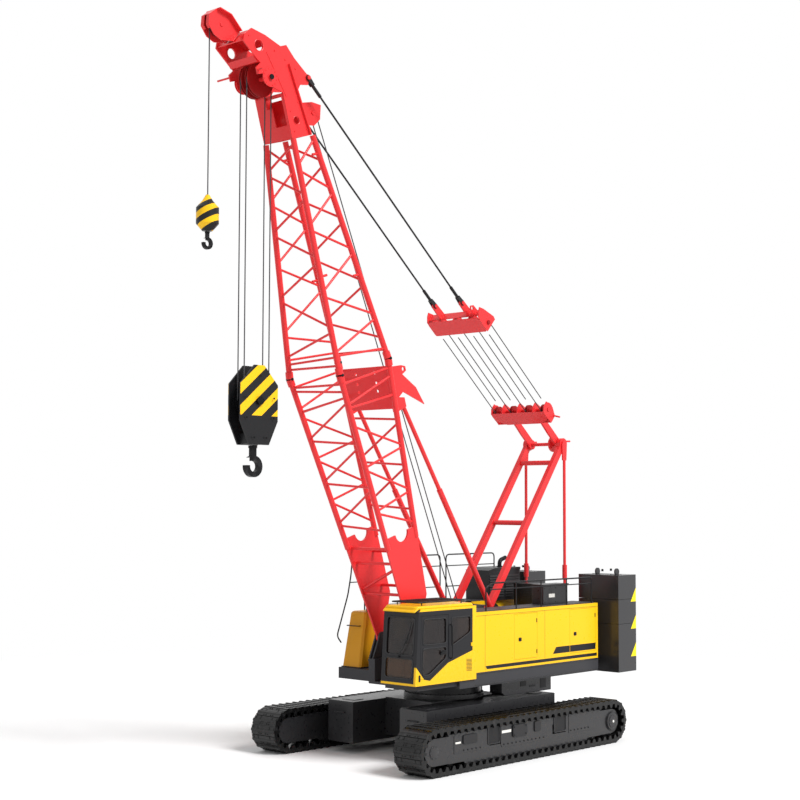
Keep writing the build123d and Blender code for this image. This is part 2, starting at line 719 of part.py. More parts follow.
def sheave(plane, centre, radius, y, bore):
    """Grooved sheave: a core between two flanges, with a bore for its pin along y."""
    turned = plane.offset(-y)
    disc(turned, centre, radius - groove_depth, groove_width + 20)
    for way in (-1, 1):
        disc(turned.offset(way * (groove_width + 14) / 2), centre, radius, 14)
    disc(turned, centre, bore, groove_width + 40, Mode.SUBTRACT)


# ---------------------------------------------------------------- boom head
cheek_y = head_width / 2
cheek_thickness = 36.0
cheek_outline = (
    (11724, -340), (12720, -320), (12860, -560), (13170, -600), (13490, -850), (13920, -1140),
    (14050, -1070), (14150, -830), (13970, -480), (13700, -100), (13710, 80), (13410, 240),
    (13070, 490), (lug_u, lug_v + 70), (12800, 480), (12830, 250), (12700, 120), (11724, 270))
back_plate = ((11724, 236), (12600, 110))
head_hole = (13770, -730)
cross_bar = ((13425, -785), (13440, -865), (13580, -925), (13575, -805))
slot_y = 200.0              # rope opening in the front plate, nearer the left side
slot_width = 350.0
low_slot_y = 120.0          # its wider end, clear of the rear falls with the boom up
low_slot_width = 510.0
with BuildPart() as head:
    for _, sign in sides:
        cheek = boom_plane.offset(-sign * cheek_y)
        plate(cheek, cheek_outline, cheek_thickness)
        disc(cheek, (head_pin_u, head_pin_v), 190, cheek_thickness)
        disc(cheek, head_hole, 115, cheek_thickness + 10, Mode.SUBTRACT)
        disc(cheek, (12090, -100), 85, cheek_thickness + 10, Mode.SUBTRACT)
        disc(cheek, (lug_u, lug_v), 80, cheek_thickness)
        rib = boom_plane.offset(-sign * (cheek_y + cheek_thickness / 2 + 25))
        plate(rib, ((11724, 200), (13300, 10), (13300, 40), (11724, 232)), 50)
    inner = 2 * cheek_y - cheek_thickness
    plate(boom_plane, ((11724, -330), (12700, -330), (12700, -306), (11724, -306)), inner)
    plate(boom_plane.offset(-slot_y), ((12020, -380), (12760, -380), (12760, -250), (12020, -250)),
          slot_width, Mode.SUBTRACT)
    plate(boom_plane.offset(-low_slot_y), ((12440, -380), (12760, -380), (12760, -290), (12440, -290)),
          low_slot_width, Mode.SUBTRACT)
    plate(boom_plane, ((12640, -285), (12720, -285), (12720, -235), (12640, -235)), inner)
    plate(boom_plane, ((11724, back_plate[0][1]), back_plate[1], (12600, 86), (11724, 212)), inner)
    plate(boom_plane, cross_bar, inner)
    plate(boom_plane, ((13940, -1110), (14130, -840), (14110, -825), (13920, -1095)), inner)
    plate(boom_plane, ((14120, -790), (13970, -480), (13800, -240),
                       (13780, -255), (13950, -495), (14100, -800)), inner)
    plate(boom_plane, ((13660, -110), (13690, 70), (13665, 75), (13635, -105)), inner)
    disc(boom_plane, (head_pin_u, head_pin_v), pin_radius, 2 * cheek_y + 120)
    for _, sign in sides:
        disc(boom_plane.offset(-sign * lug_y), (lug_u, lug_v), pin_radius, 130)
        horn_y = cheek_y + (170 if sign > 0 else 430)
        bar(boom_at(13270, -900, sign * (cheek_y + 10)), boom_at(13270, -900, sign * horn_y), 22)
        plate(boom_plane.offset(-sign * cheek_y),
              ((13180, -940), (13330, -940), (13420, -760), (13180, -560)),
              cheek_thickness)
finish(head.part, "boom_head")

with BuildPart() as boom_sheaves:
    for y in (-line_spacing / 2, line_spacing / 2):
        sheave(boom_plane, (head_pin_u, head_pin_v), head_sheave_radius + rope_seat, y, pin_radius)
    sheave(boom_plane, (tip_u, tip_v), tip_sheave_radius + rope_seat, 0, pin_radius)
finish(boom_sheaves.part, "boom_sheaves")

tip_half = 120.0
tip_cover = 230.0           # half the width of the cover behind the sheave
guard_slot = 76.0
with BuildPart() as tip:
    tip_outline = ((13960, -1110), (14010, -1450), (14150, -1620), (14380, -1705), (14580, -1620),
                   (14675, -1365), (14510, -1085), (14130, -880))
    for y in (-tip_half, tip_half):
        plate(boom_plane.offset(-y), tip_outline, 24)
    guard = ((14290, -1673), (14380, -1705), (14580, -1620), (14675, -1365),
             (14655, -1360), (14565, -1604), (14380, -1683), (14295, -1653))
    plate(boom_plane, guard, 2 * tip_half)
    slot = ((14250, -1720), (14480, -1720), (14590, -1640), (14560, -1540), (14250, -1620))
    plate(boom_plane, slot, guard_slot, Mode.SUBTRACT)     # the line swings through it as the boom goes down
    plate(boom_plane, ((14675, -1365), (14510, -1085), (14140, -885),
                       (14140, -905), (14490, -1096), (14655, -1376)),
          2 * tip_cover)
    disc(boom_plane, (tip_u, tip_v), pin_radius, 2 * tip_half + 60)
    bar(boom_at(14505, -1092, 0), boom_at(14570, -960, 0), 24)
finish(tip.part, "tip_sheave_frame")

guide_u, guide_v, guide_radius = 12200.0, 700.0, 200.0
guide_y = 90.0
with BuildPart() as guide:
    guide_outline = ((12480, along(back_plate, 12480) + 1), (12440, 740), (12340, 1000), (12030, 880),
                     (11920, 660), (12000, along(back_plate, 12000) + 1))
    for y in (-200, 0, 200):
        plate(boom_plane.offset(-y), guide_outline, 20)
    for y in (-guide_y, guide_y):
        sheave(boom_plane, (guide_u, guide_v), guide_radius + rope_seat, y, pin_radius)
    disc(boom_plane, (guide_u, guide_v), pin_radius, 460)
finish(guide.part, "rope_guide")

# ---------------------------------------------------------------- gantry
apex = upper_at(apex_x, 0, apex_z)
apex_shaft_radius = 45.0


def beam(start, end, width, depth):
    """Rectangular beam from one point to another, its width across the machine."""
    run = end - start
    with BuildSketch(Plane(origin=start, x_dir=(0, 1, 0), z_dir=run)) as section:
        Rectangle(width, depth)
    return extrude(section.sketch, amount=run.length)


def leg_at(z, y):
    """Point on the centre line of a gantry leg."""
    share = (z - leg_foot_z) / (apex_z - leg_foot_z)
    return upper_at(leg_foot_x + share * (apex_x - leg_foot_x), y, z)


with BuildPart() as gantry:
    for _, sign in sides:
        y = sign * gantry_half_width
        beam(upper_at(leg_foot_x, y, leg_foot_z), upper_at(apex_x, y, apex_z), 120, 170)
        disc(side_plane(y), (leg_foot_x, leg_foot_z), 105, 120)
        disc(side_plane(y), (apex_x, apex_z), 150, 120)
        bar(upper_at(apex_x - 90, y, apex_z + 70), upper_at(apex_x - 350, y, apex_z + 80), 24)
    for z in (5344, 6890):
        bar(leg_at(z, -gantry_half_width), leg_at(z, gantry_half_width), 62)
    disc(side_plane(0), (apex_x, apex_z), apex_shaft_radius, 2 * gantry_half_width)
    disc(side_plane(280), (apex_x, apex_z), 205, 50)
finish(gantry.part, "gantry")

with BuildPart() as struts:
    for _, sign in sides:
        y = sign * strut_y
        bar(upper_at(strut_x, y, 3300), upper_at(strut_x, y, apex_z - 425), 38)
        bar(upper_at(strut_x, y, 3900), upper_at(strut_x, y, 4250), 62)
        plate(side_plane(y), ((strut_x - 70, deck_floor), (strut_x + 70, deck_floor),
                              (strut_x + 50, 3340), (strut_x - 50, 3340)), 36)
        plate(side_plane(y), ((strut_x - 75, apex_z - 430), (strut_x + 75, apex_z - 430),
                              (apex_x + 100, apex_z), (apex_x - 100, apex_z)), 36)
        disc(side_plane(y), (apex_x, apex_z), 90, 36)
        disc(side_plane(sign * (strut_y + 1)), (apex_x, apex_z), 40, 38)
finish(struts.part, "gantry_struts")

# ---------------------------------------------------------------- spreader, bail, pendants and falls
lug = boom_at(lug_u, lug_v, 0)
rig_line = lug - apex       # all that is taut lies along it: s along, t above it
rig_plane = Plane(origin=apex, x_dir=rig_line, z_dir=(0, -1, 0))
rig_length = rig_line.length
fall_lanes = [lane_spacing * step for step in (-1.5, -0.5, 0.5, 1.5)]
fork_y = 440.0              # pendants, their lugs and the arms of the spreader
front_t = -173.0            # closed front of both sheave boxes
wall = 16.0
pin_clearance = 6.0


def rig_at(s, t, y):
    """Point of the boom rigging."""
    return rig_plane.from_local_coords(Vector(s, t, -y))


def rig_plate(outline, y, thickness, s=0):
    """Plate along the rigging, with its outline seen from s."""
    plate(rig_plane.offset(-y), [(s + point_s, t) for point_s, t in outline], thickness)


def front_plate(s, outline):
    """Closed front of a sheave box; its outline is half of a symmetric one, s and y."""
    face = Plane(origin=rig_at(s, front_t, 0), x_dir=rig_line, z_dir=rig_plane.y_dir)
    plate(face, outline + tuple((point_s, -y) for point_s, y in reversed(outline)), wall)


sheave_box = ((-310, -173), (110, -173), (190, -70), (190, 110), (-90, 175), (-310, 70))
with BuildPart() as spreader:
    for _, sign in sides:
        rig_plate(((0, -100), (520, -95), (1000, -70), (1000, 95), (520, 100), (0, 100)), sign * fork_y, 60)
        disc(rig_plane.offset(-sign * fork_y), (0, 0), 125, 60)
        disc(rig_plane.offset(-sign * fork_y), (0, 0), apex_shaft_radius + pin_clearance, 70, Mode.SUBTRACT)
        disc(rig_plane.offset(-sign * (spreader_half_width - 10)), (spreader_reach, 0), 185, 20)
    for y in (10 - spreader_half_width, -lane_spacing, 0, lane_spacing, spreader_half_width - 10):
        rig_plate(sheave_box, y, 20, spreader_reach)
    front_plate(spreader_reach, ((-310, 560), (-140, spreader_half_width), (110, spreader_half_width)))
    rig_plate(((-310, -165), (-290, -165), (-290, 70), (-310, 70)), 0,
              2 * spreader_half_width - 40, spreader_reach)
    disc(rig_plane, (spreader_reach, 0), pin_radius, 2 * spreader_half_width + 40)
    bar(rig_at(spreader_reach - 250, 40, spreader_half_width - 30),
        rig_at(spreader_reach - 330, 40, spreader_half_width + 160), 22)
finish(spreader.part, "spreader")

with BuildPart() as spreader_sheaves:
    for y in fall_lanes:
        sheave(rig_plane, (spreader_reach, 0), fall_sheave_radius, y, pin_radius)
finish(spreader_sheaves.part, "spreader_sheaves")

near, far = bail_distance + bail_reach, rig_length      # pins of the pendants
with BuildPart() as bail:
    bail_side = ((-135, -173), (330, -173), (430, -60), (470, 50), (330, 130), (-50, 265), (-140, 245))
    for y in (10 - bail_half_width, bail_half_width - 10):
        rig_plate(bail_side, y, 20, bail_distance)
    for y in (-lane_spacing, 0, lane_spacing):
        rig_plate(((-100, -173), (330, -173), (330, 110), (-100, 110)), y, 20, bail_distance)
    front_plate(bail_distance, ((-135, bail_half_width - 50), (-80, bail_half_width),
                                (260, bail_half_width), (330, bail_half_width - 70)))
    rig_plate(((314, -95), (330, -95), (330, 110), (314, 110)), 0, 2 * bail_half_width - 30, bail_distance)
    rig_plate(((320, -90), (520, -80), (580, 10), (520, 90), (320, 110)), 640, 30, bail_distance)
    disc(rig_plane.offset(-640), (bail_distance + 500, 5), 40, 40, Mode.SUBTRACT)
    for _, sign in sides:
        rig_plate(((318, -95), (bail_reach, -80), (bail_reach, 80), (318, 105)),
                  sign * fork_y, 50, bail_distance)
        disc(rig_plane.offset(-sign * fork_y), (near, 0), 80, 50)
        disc(rig_plane.offset(-sign * fork_y), (near, 0), pin_radius, 130)
    disc(rig_plane, (bail_distance, 0), pin_radius, 2 * bail_half_width + 60)
finish(bail.part, "bail")

with BuildPart() as bail_sheaves:
    for y in fall_lanes:
        sheave(rig_plane, (bail_distance, 0), fall_sheave_radius, y, pin_radius)
finish(bail_sheaves.part, "bail_sheaves")

with BuildPart() as pendants:
    for _, sign in sides:
        y = sign * fork_y
        bar(rig_at(near + 520, 0, y), rig_at(far - 520, 0, y), pendant_radius)
        for pin_s, way in ((near, 1), (far, -1)):
            for cheek in (-40, 40):
                rig_plate(((0, -58), (way * 190, -38), (way * 190, 38), (0, 58)), y + cheek, 20, pin_s)
                disc(rig_plane.offset(-y - cheek), (pin_s, 0), 62, 20)
            rig_plate(((way * 155, -38), (way * 215, -38), (way * 215, 38), (way * 155, 38)), y, 100, pin_s)
            bar(rig_at(pin_s + way * 200, 0, y), rig_at(pin_s + way * 530, 0, y), 38)
            disc(rig_plane.offset(-y), (pin_s, 0), pin_radius + pin_clearance, 110, Mode.SUBTRACT)
finish(pendants.part, "pendants")

fall_offset = fall_sheave_radius - rope_seat
with BuildPart() as upper_falls:    # over the sheaves, carried by the bail
    bars([(rig_at(spreader_reach + fall_shortfall, fall_offset, y), rig_at(bail_distance, fall_offset, y))
          for y in fall_lanes], fall_radius)
finish(upper_falls.part, "upper_falls")
with BuildPart() as lower_falls:    # under the sheaves, carried by the spreader
    bars([(rig_at(spreader_reach, -fall_offset, y), rig_at(bail_distance - fall_shortfall, -fall_offset, y))
          for y in fall_lanes], fall_radius)
finish(lower_falls.part, "lower_falls")

# ---------------------------------------------------------------- backstops
stop_foot = upper_at(stop_foot_x, 0, stop_foot_z)
stop_eye = boom_at(stop_u, stop_v, 0)
stop_line = stop_eye - stop_foot
stop_plane = Plane(origin=stop_foot, x_dir=stop_line, z_dir=(0, -1, 0))
with BuildPart() as stop_tubes:
    for _, sign in sides:
        base = Plane(origin=stop_foot + Vector(0, sign * stop_y, 0), z_dir=stop_line)
        with BuildSketch(base.offset(60)):
            Circle(stop_radius)
            Circle(stop_rod_radius + 4, mode=Mode.SUBTRACT)
        extrude(amount=stop_tube_length - 60)
        with BuildSketch(base.offset(60)):
            Circle(stop_radius)
        extrude(amount=60)
        disc(stop_plane.offset(-sign * stop_y), (0, 0), 85, 90)
        disc(stop_plane.offset(-sign * stop_y), (0, 0), 38, 100, Mode.SUBTRACT)
finish(stop_tubes.part, "backstop_tubes")
rod_start = stop_tube_length - 3100
with BuildPart() as stop_rods:
    for _, sign in sides:
        base = stop_foot + Vector(0, sign * stop_y, 0)
        reach = stop_line.length
        bar(base + stop_line * (rod_start / reach), base + stop_line * ((reach - 40) / reach),
            stop_rod_radius)
        disc(stop_plane.offset(-sign * stop_y), (reach, 0), 70, 70)
finish(stop_rods.part, "backstop_rods")

# ---------------------------------------------------------------- hoist lines
guide_pin = boom_at(guide_u, guide_v, 0)
drum = upper_at(-350, 0, 2850)
drum_radius = 285.0
line_run = drum - guide_pin
line_plane = Plane(origin=guide_pin, x_dir=line_run, z_dir=(0, -1, 0))
with BuildPart() as hoist_lines:
    bars([(line_plane.from_local_coords(Vector(0, -guide_radius, -y)),
           line_plane.from_local_coords(Vector(line_run.length - 60, -drum_radius, -y)))
          for y in (-guide_y, guide_y)], hoist_rope_radius)
finish(hoist_lines.part, "hoist_lines")

# ---------------------------------------------------------------- main hook
head_pin = boom_at(head_pin_u, head_pin_v, 0)
block_pin = head_pin - Vector(0, 0, block_drop)


def falls(lanes):
    """Rope falls between the head sheaves and the block."""
    bars([(block_pin + Vector(x, y, 0), head_pin + Vector(x, y, 0)) for x, y in lanes], hoist_rope_radius)


reach, lane = head_sheave_radius, line_spacing / 2
with BuildPart() as head_falls:
    falls(((reach, lane), (-reach, -lane)))
finish(head_falls.part, "head_falls")
with BuildPart() as block_falls:
    falls(((reach, -lane), (-reach, lane)))
finish(block_falls.part, "block_falls")

block_face = Plane(origin=block_pin, x_dir=(1, 0, 0), z_dir=(0, -1, 0))
cheek_gap = 360.0
with BuildPart() as hook_block:
    outline = ((-140, 760), (140, 760), (530, 350), (530, -430),
               (280, -940), (-280, -940), (-530, -430), (-530, 350))
    for y in (-cheek_gap / 2, cheek_gap / 2):
        plate(block_face.offset(-y), outline, 40)
    plate(block_face, ((-240, -930), (240, -930), (240, -700), (-240, -700)), cheek_gap)
    for y in (-lane, lane):
        sheave(block_face, (0, 0), block_sheave_radius + rope_seat, y, pin_radius)
    disc(block_face, (0, 0), pin_radius, cheek_gap + 120)
finish(hook_block.part, "hook_block")


def hook(top, size, thickness):
    """Single hook hanging from a point: shank, nut and a swept bowl."""
    face = Plane(origin=top, x_dir=(1, 0, 0), z_dir=(0, -1, 0))
    disc(Plane(origin=top, z_dir=(0, 0, 1)), (0, 0), 0.36 * size, 0.2 * size)
    with BuildSketch(face) as shape:
        with Locations((0, -1.55 * size)):
            Circle(0.85 * size)
            Circle(0.45 * size, mode=Mode.SUBTRACT)
        with Locations((0, -0.5 * size)):
            Rectangle(0.42 * size, size)
        with Locations((0.62 * size, -1.16 * size)):
            Rectangle(0.95 * size, 0.6 * size, mode=Mode.SUBTRACT)
    extrude(shape.sketch, amount=thickness / 2, both=True)


with BuildPart() as main_hook:
    hook(block_pin - Vector(0, 0, 980), 270, 120)
finish(main_hook.part, "main_hook")

# ---------------------------------------------------------------- auxiliary hook
tip_pin = boom_at(tip_u, tip_v, 0)
ball = tip_pin + Vector(tip_sheave_radius, 0, -ball_drop)
with BuildPart() as aux_line:
    bar(ball + Vector(0, 0, 300), tip_pin + Vector(tip_sheave_radius, 0, 0), hoist_rope_radius)
finish(aux_line.part, "auxiliary_line")
with BuildPart() as aux_ball:
    with BuildSketch(Plane(origin=ball, x_dir=(1, 0, 0), z_dir=(0, -1, 0))):
        with BuildLine():
            Polyline((0, -320), (110, -320), (240, -170), (240, 170),
                     (110, 320), (40, 440), (0, 440), close=True)
        make_face()
    revolve(axis=Axis(ball, (0, 0, 1)))
    disc(Plane(origin=ball, z_dir=(0, 0, 1)), (0, 0), hoist_rope_radius, 1000, Mode.SUBTRACT)
finish(aux_ball.part, "auxiliary_ball")
with BuildPart() as aux_hook:
    hook(ball - Vector(0, 0, 350), 150, 70)
finish(aux_hook.part, "auxiliary_hook")
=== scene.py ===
"""Looks of a tracked lattice-boom crane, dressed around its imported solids.

Metres, in the frame of the solids: +X forward, +Y to the left, +Z up, origin on the
ground under the middle of the overall length. Each sub-assembly is a class that makes
its own pieces and finishes the solids that belong to it.
"""
import functools
import json
import logging
import math
import operator
from dataclasses import dataclass
from enum import Enum
from typing import Iterable, Sequence

import bpy
import numpy as np
from mathutils import Matrix, Vector


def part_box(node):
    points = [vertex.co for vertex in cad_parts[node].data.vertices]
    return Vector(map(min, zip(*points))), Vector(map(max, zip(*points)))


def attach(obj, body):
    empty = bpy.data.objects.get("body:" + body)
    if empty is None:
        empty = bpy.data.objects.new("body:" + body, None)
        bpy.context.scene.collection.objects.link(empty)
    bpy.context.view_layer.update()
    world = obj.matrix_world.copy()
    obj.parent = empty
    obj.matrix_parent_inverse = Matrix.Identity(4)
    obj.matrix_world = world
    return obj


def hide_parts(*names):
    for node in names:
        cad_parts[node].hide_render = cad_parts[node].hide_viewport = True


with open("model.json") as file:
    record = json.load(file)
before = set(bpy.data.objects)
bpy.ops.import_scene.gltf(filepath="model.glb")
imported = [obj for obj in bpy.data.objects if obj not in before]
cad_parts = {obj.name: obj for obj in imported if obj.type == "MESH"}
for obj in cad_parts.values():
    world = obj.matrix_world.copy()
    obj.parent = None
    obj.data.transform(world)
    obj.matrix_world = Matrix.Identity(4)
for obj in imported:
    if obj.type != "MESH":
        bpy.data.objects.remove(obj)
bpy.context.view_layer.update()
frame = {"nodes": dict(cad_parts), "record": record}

JOINTS = {joint["name"]: joint for joint in frame["record"]["behaviour"]["joints"]}
SLEW_X = JOINTS["slew"]["pos_m"][0]
FOOT = JOINTS["boom_luff"]["pos_m"]
RAKE = math.radians(72.3)
LOG = logging.getLogger("crane")

Colour = tuple[float, float, float]
Point = Sequence[float]


# ------------------------------------------------------------------ shader maths
class Num:
    """A number in a node tree; arithmetic on it adds Math nodes."""

    def __init__(self, tree: "Tree", socket: bpy.types.NodeSocket) -> None:
        """Wrap a socket.

        Args:
            tree: the material's node tree.
            socket: the output that carries the number.
        """
        self.tree = tree
        self.socket = socket

    def math(self, operation: str, *others: "Num | float", first: bool = True) -> "Num":
        """Add one Math node.

        Args:
            operation: the node's operation.
            others: the other operands.
            first: whether this number is the first operand.

        Returns:
            The node's result.
        """
        values = [self, *others] if first else [*others, self]
        node = self.tree.node("ShaderNodeMath", {"operation": operation}, dict(enumerate(values)))
        return Num(self.tree, node.outputs[0])

    def __add__(self, other: "Num | float") -> "Num":
        """Sum."""
        return self.math("ADD", other)

    def __sub__(self, other: "Num | float") -> "Num":
        """Difference."""
        return self.math("SUBTRACT", other)

    def __rsub__(self, other: float) -> "Num":
        """Difference with the number second."""
        return self.math("SUBTRACT", other, first=False)

    def __mul__(self, other: "Num | float") -> "Num":
        """Product."""
        return self.math("MULTIPLY", other)

    def __truediv__(self, other: "Num | float") -> "Num":
        """Quotient."""
        return self.math("DIVIDE", other)

    def __rtruediv__(self, other: float) -> "Num":
        """Quotient with the number second."""
        return self.math("DIVIDE", other, first=False)

    def __pow__(self, other: "Num | float") -> "Num":
        """Power."""
        return self.math("POWER", other)

    def __mod__(self, other: "Num | float") -> "Num":
        """Remainder."""
        return self.math("FLOORED_MODULO", other)

    def __gt__(self, other: "Num | float") -> "Num":
        """One where this number is the greater, else zero."""
        return self.math("GREATER_THAN", other)

    def __lt__(self, other: "Num | float") -> "Num":
        """One where this number is the smaller, else zero."""
        return self.math("LESS_THAN", other)

    __radd__ = __add__
    __rmul__ = __mul__

    def clamp(self) -> "Num":
        """Limit to 0..1."""
        return self.math("MAXIMUM", 0.0).math("MINIMUM", 1.0)

    def smooth(self, low: float, high: float) -> "Num":
        """Rise smoothly from 0 at low to 1 at high.

        Args:
            low: where the rise begins.
            high: where it ends.

        Returns:
            The smooth step.
        """
        node = self.tree.node(
            "ShaderNodeMapRange", {"interpolation_type": "SMOOTHSTEP"},
            {"Value": self, "From Min": low, "From Max": high})
        return Num(self.tree, node.outputs[0])


class Tree:
    """The node tree of one material."""

    def __init__(self, name: str) -> None:
        """Make a material with one Principled shader.

        Args:
            name: the material's name.
        """
        self.material = bpy.data.materials.new(f"{name}_looks")
        self.material.use_nodes = True
        self.nodes = self.material.node_tree.nodes
        self.links = self.material.node_tree.links
        self.shader = self.nodes["Principled BSDF"]

    def node(self, kind: str, settings: dict | None = None, inputs: dict | None = None) -> bpy.types.Node:
        """Add a node, its settings first and then its sockets.

        Args:
            kind: the node's type.
            settings: attributes of the node; "stops" fills a colour ramp.
            inputs: socket name or number to a value, a wrapped socket or a socket.

        Returns:
            The node.
        """
        node = self.nodes.new(kind)
        for key, value in (settings or {}).items():
            if key == "stops":
                self.fill_ramp(node, value)
            else:
                setattr(node, key, value)
        for key, value in (inputs or {}).items():
            socket = node.inputs[key]
            if isinstance(value, Num):
                self.links.new(value.socket, socket)
            elif isinstance(value, bpy.types.NodeSocket):
                self.links.new(value, socket)
            else:
                socket.default_value = value
        return node

    @staticmethod
    def fill_ramp(node: bpy.types.Node, stops: Sequence[tuple[float, Colour]]) -> None:
        """Set the stops of a colour ramp.

        Args:
            node: the ramp.
            stops: places and colours.
        """
        elements = node.color_ramp.elements
        while len(elements) < len(stops):
            elements.new(0.5)
        for element, (place, colour) in zip(elements, stops):
            element.position = place
            element.color = (*colour, 1.0)

    def number(self, kind: str, settings: dict | None = None, inputs: dict | None = None,
               output: int | str = 0) -> Num:
        """Add a node and wrap one of its outputs.

        Args:
            kind: the node's type.
            settings: attributes of the node.
            inputs: values or links of its sockets.
            output: which output to wrap.

        Returns:
            The wrapped output.
        """
        return Num(self, self.node(kind, settings, inputs).outputs[output])

    def position(self) -> bpy.types.NodeSocket:
        """Object coordinates of the surface."""
        return self.node("ShaderNodeTexCoord").outputs["Object"]

    def axes(self) -> tuple[Num, Num, Num]:
        """The three Object coordinates as numbers."""
        split = self.node("ShaderNodeSeparateXYZ", None, {0: self.position()})
        return Num(self, split.outputs[0]), Num(self, split.outputs[1]), Num(self, split.outputs[2])

    def noise(self, scale: float, detail: float = 3.0, stretch: Point = (1.0, 1.0, 1.0)) -> Num:
        """Fractal noise about 0.5 on Object coordinates.

        Args:
            scale: grains per metre.
            detail: octaves.
            stretch: factor on each axis.

        Returns:
            The noise.
        """
        spot = self.node("ShaderNodeVectorMath", {"operation": "MULTIPLY"},
                         {0: self.position(), 1: tuple(stretch)})
        return self.number("ShaderNodeTexNoise", None,
                           {"Vector": spot.outputs[0], "Scale": scale, "Detail": detail})

    def mix(self, share: "Num | float", first: "Colour | bpy.types.NodeSocket",
            second: "Colour | bpy.types.NodeSocket") -> bpy.types.NodeSocket:
        """Mix two colours.

        Args:
            share: 0 for the first, 1 for the second.
            first: a colour or a colour socket.
            second: a colour or a colour socket.

        Returns:
            The mixed colour.
        """
        pair = [c if isinstance(c, bpy.types.NodeSocket) else (*c, 1.0) for c in (first, second)]
        node = self.node("ShaderNodeMix", {"data_type": "RGBA"}, {0: share, 6: pair[0], 7: pair[1]})
        return node.outputs[2]

    def bump(self, height: Num, distance: float, strength: float = 1.0) -> None:
        """Feed a height to the shader's normal.

        Args:
            height: the height, 0 to 1.
            distance: metres that 1 stands for.
            strength: share of the effect.
        """
        node = self.node("ShaderNodeBump", None,
                         {"Height": height, "Distance": distance, "Strength": strength})
        self.links.new(node.outputs[0], self.shader.inputs["Normal"])

    def feed(self, **sockets: "Num | float | Colour | bpy.types.NodeSocket") -> bpy.types.Material:
        """Set or link the shader's own sockets.

        Args:
            sockets: names, with _ for a space, and what they get.

        Returns:
            The finished material.
        """
        for key, value in sockets.items():
            socket = self.shader.inputs[key.replace("_", " ")]
            if isinstance(value, Num):
                self.links.new(value.socket, socket)
            elif isinstance(value, bpy.types.NodeSocket):
                self.links.new(value, socket)
            elif isinstance(value, tuple) and len(value) == 3:
                socket.default_value = (*value, 1.0)
            else:
                socket.default_value = value
        return self.material


# ------------------------------------------------------------------ finishes
def shade(colour: Colour, factor: float) -> Colour:
    """Scale a colour.

    Args:
        colour: linear red, green and blue.
        factor: how much lighter or darker.

    Returns:
        The scaled colour, no channel above 1.
    """
    return tuple(min(1.0, c * factor) for c in colour)


def from_screen(red: int, green: int, blue: int) -> Colour:
    """Turn a colour of the usual screen scale into linear light.

    Args:
        red: 0 to 255.
        green: 0 to 255.
        blue: 0 to 255.

    Returns:
        Linear red, green and blue.
    """
    return tuple(((c / 255 + 0.055) / 1.055) ** 2.4 if c > 10 else c / 3294.6
                 for c in (red, green, blue))


@dataclass(frozen=True)
class Paint:
    """Sprayed machine paint: slightly uneven colour and gloss, fine orange peel, dust low down."""

    name: str
    colour: Colour
    roughness: float = 0.35
    uneven: float = 0.06
    dust: float = 0.10
    dust_top: float = 1.2
    peel: float = 0.0004
    shine: float = 0.22
    dust_colour: Colour = (0.30, 0.27, 0.23)

    def material(self) -> bpy.types.Material:
        """Build the paint.

        Returns:
            The material.
        """
        tree = Tree(self.name)
        cloud = tree.noise(0.9)
        speck = tree.noise(14.0, 4.0)
        _, _, height = tree.axes()
        base = tree.mix(cloud, shade(self.colour, 1 - self.uneven), shade(self.colour, 1 + self.uneven))
        low = 1 - height.smooth(0.1, self.dust_top)
        dirt = (speck.smooth(0.42, 0.75) * (low + 0.15) * self.dust).clamp()
        colour = tree.mix(dirt, base, self.dust_colour)
        tree.bump(tree.noise(160.0, 2.0), self.peel, 0.5)
        gloss = (speck - 0.5) * 0.18 + dirt * 0.5 + self.roughness
        return tree.feed(Base_Color=colour, Roughness=gloss.clamp(), Specular_IOR_Level=self.shine)


@dataclass(frozen=True)
class CabPaint:
    """Cab paint: yellow, with black glazed zones whose lower edge is a broken line, and a dark inside."""

    name: str
    colour: Colour
    trim: Colour
    lining: Colour
    side_y: float = 1.700
    inner_y: float = 0.650
    roughness: float = 0.28

    def material(self) -> bpy.types.Material:
        """Build the paint: the zone is where z stands above the highest of a few straight lines.

        Returns:
            The material.
        """
        tree = Tree(self.name)
        x, y, z = tree.axes()
        x = x - SLEW_X
        rear = (x * -0.264 + 2.723).math("MINIMUM", x * -0.574 + 3.277)
        edge = rear.math("MAXIMUM", x * 0.21 + 1.396).math("MAXIMUM", x * 1.07 - 0.83)
        left = (z > edge) * (z < 3.435) * (x > 0.93) * (y > self.side_y - 0.06)
        right = (z > 2.33) * (z < 3.435) * (x > 0.93) * (y < self.inner_y + 0.04)
        face = (z * -0.0693 + 2.880 + 0.125) - x
        front = (face < 0.03) * (z > 1.86) * (z < 3.42) * ((z > 2.30) + (y < 1.64)).clamp()
        black = (left + right + front * (y < self.side_y - 0.004)).clamp()
        within = (y > self.inner_y + 0.012) * (y < self.side_y - 0.012) * (z < 3.48) * (z > 1.82)
        inside = within * (x > 0.812) * (face > 0.012)
        cloud = tree.noise(1.1)
        base = tree.mix(cloud, shade(self.colour, 0.97), shade(self.colour, 1.04))
        colour = tree.mix(inside, tree.mix(black, base, self.trim), self.lining)
        tree.bump(tree.noise(160.0, 2.0), 0.0004, 0.5)
        gloss = inside * 0.35 - black * 0.08 + (tree.noise(12.0, 4.0) - 0.5) * 0.15 + self.roughness
        return tree.feed(Base_Color=colour, Roughness=gloss.clamp(), Specular_IOR_Level=0.25)


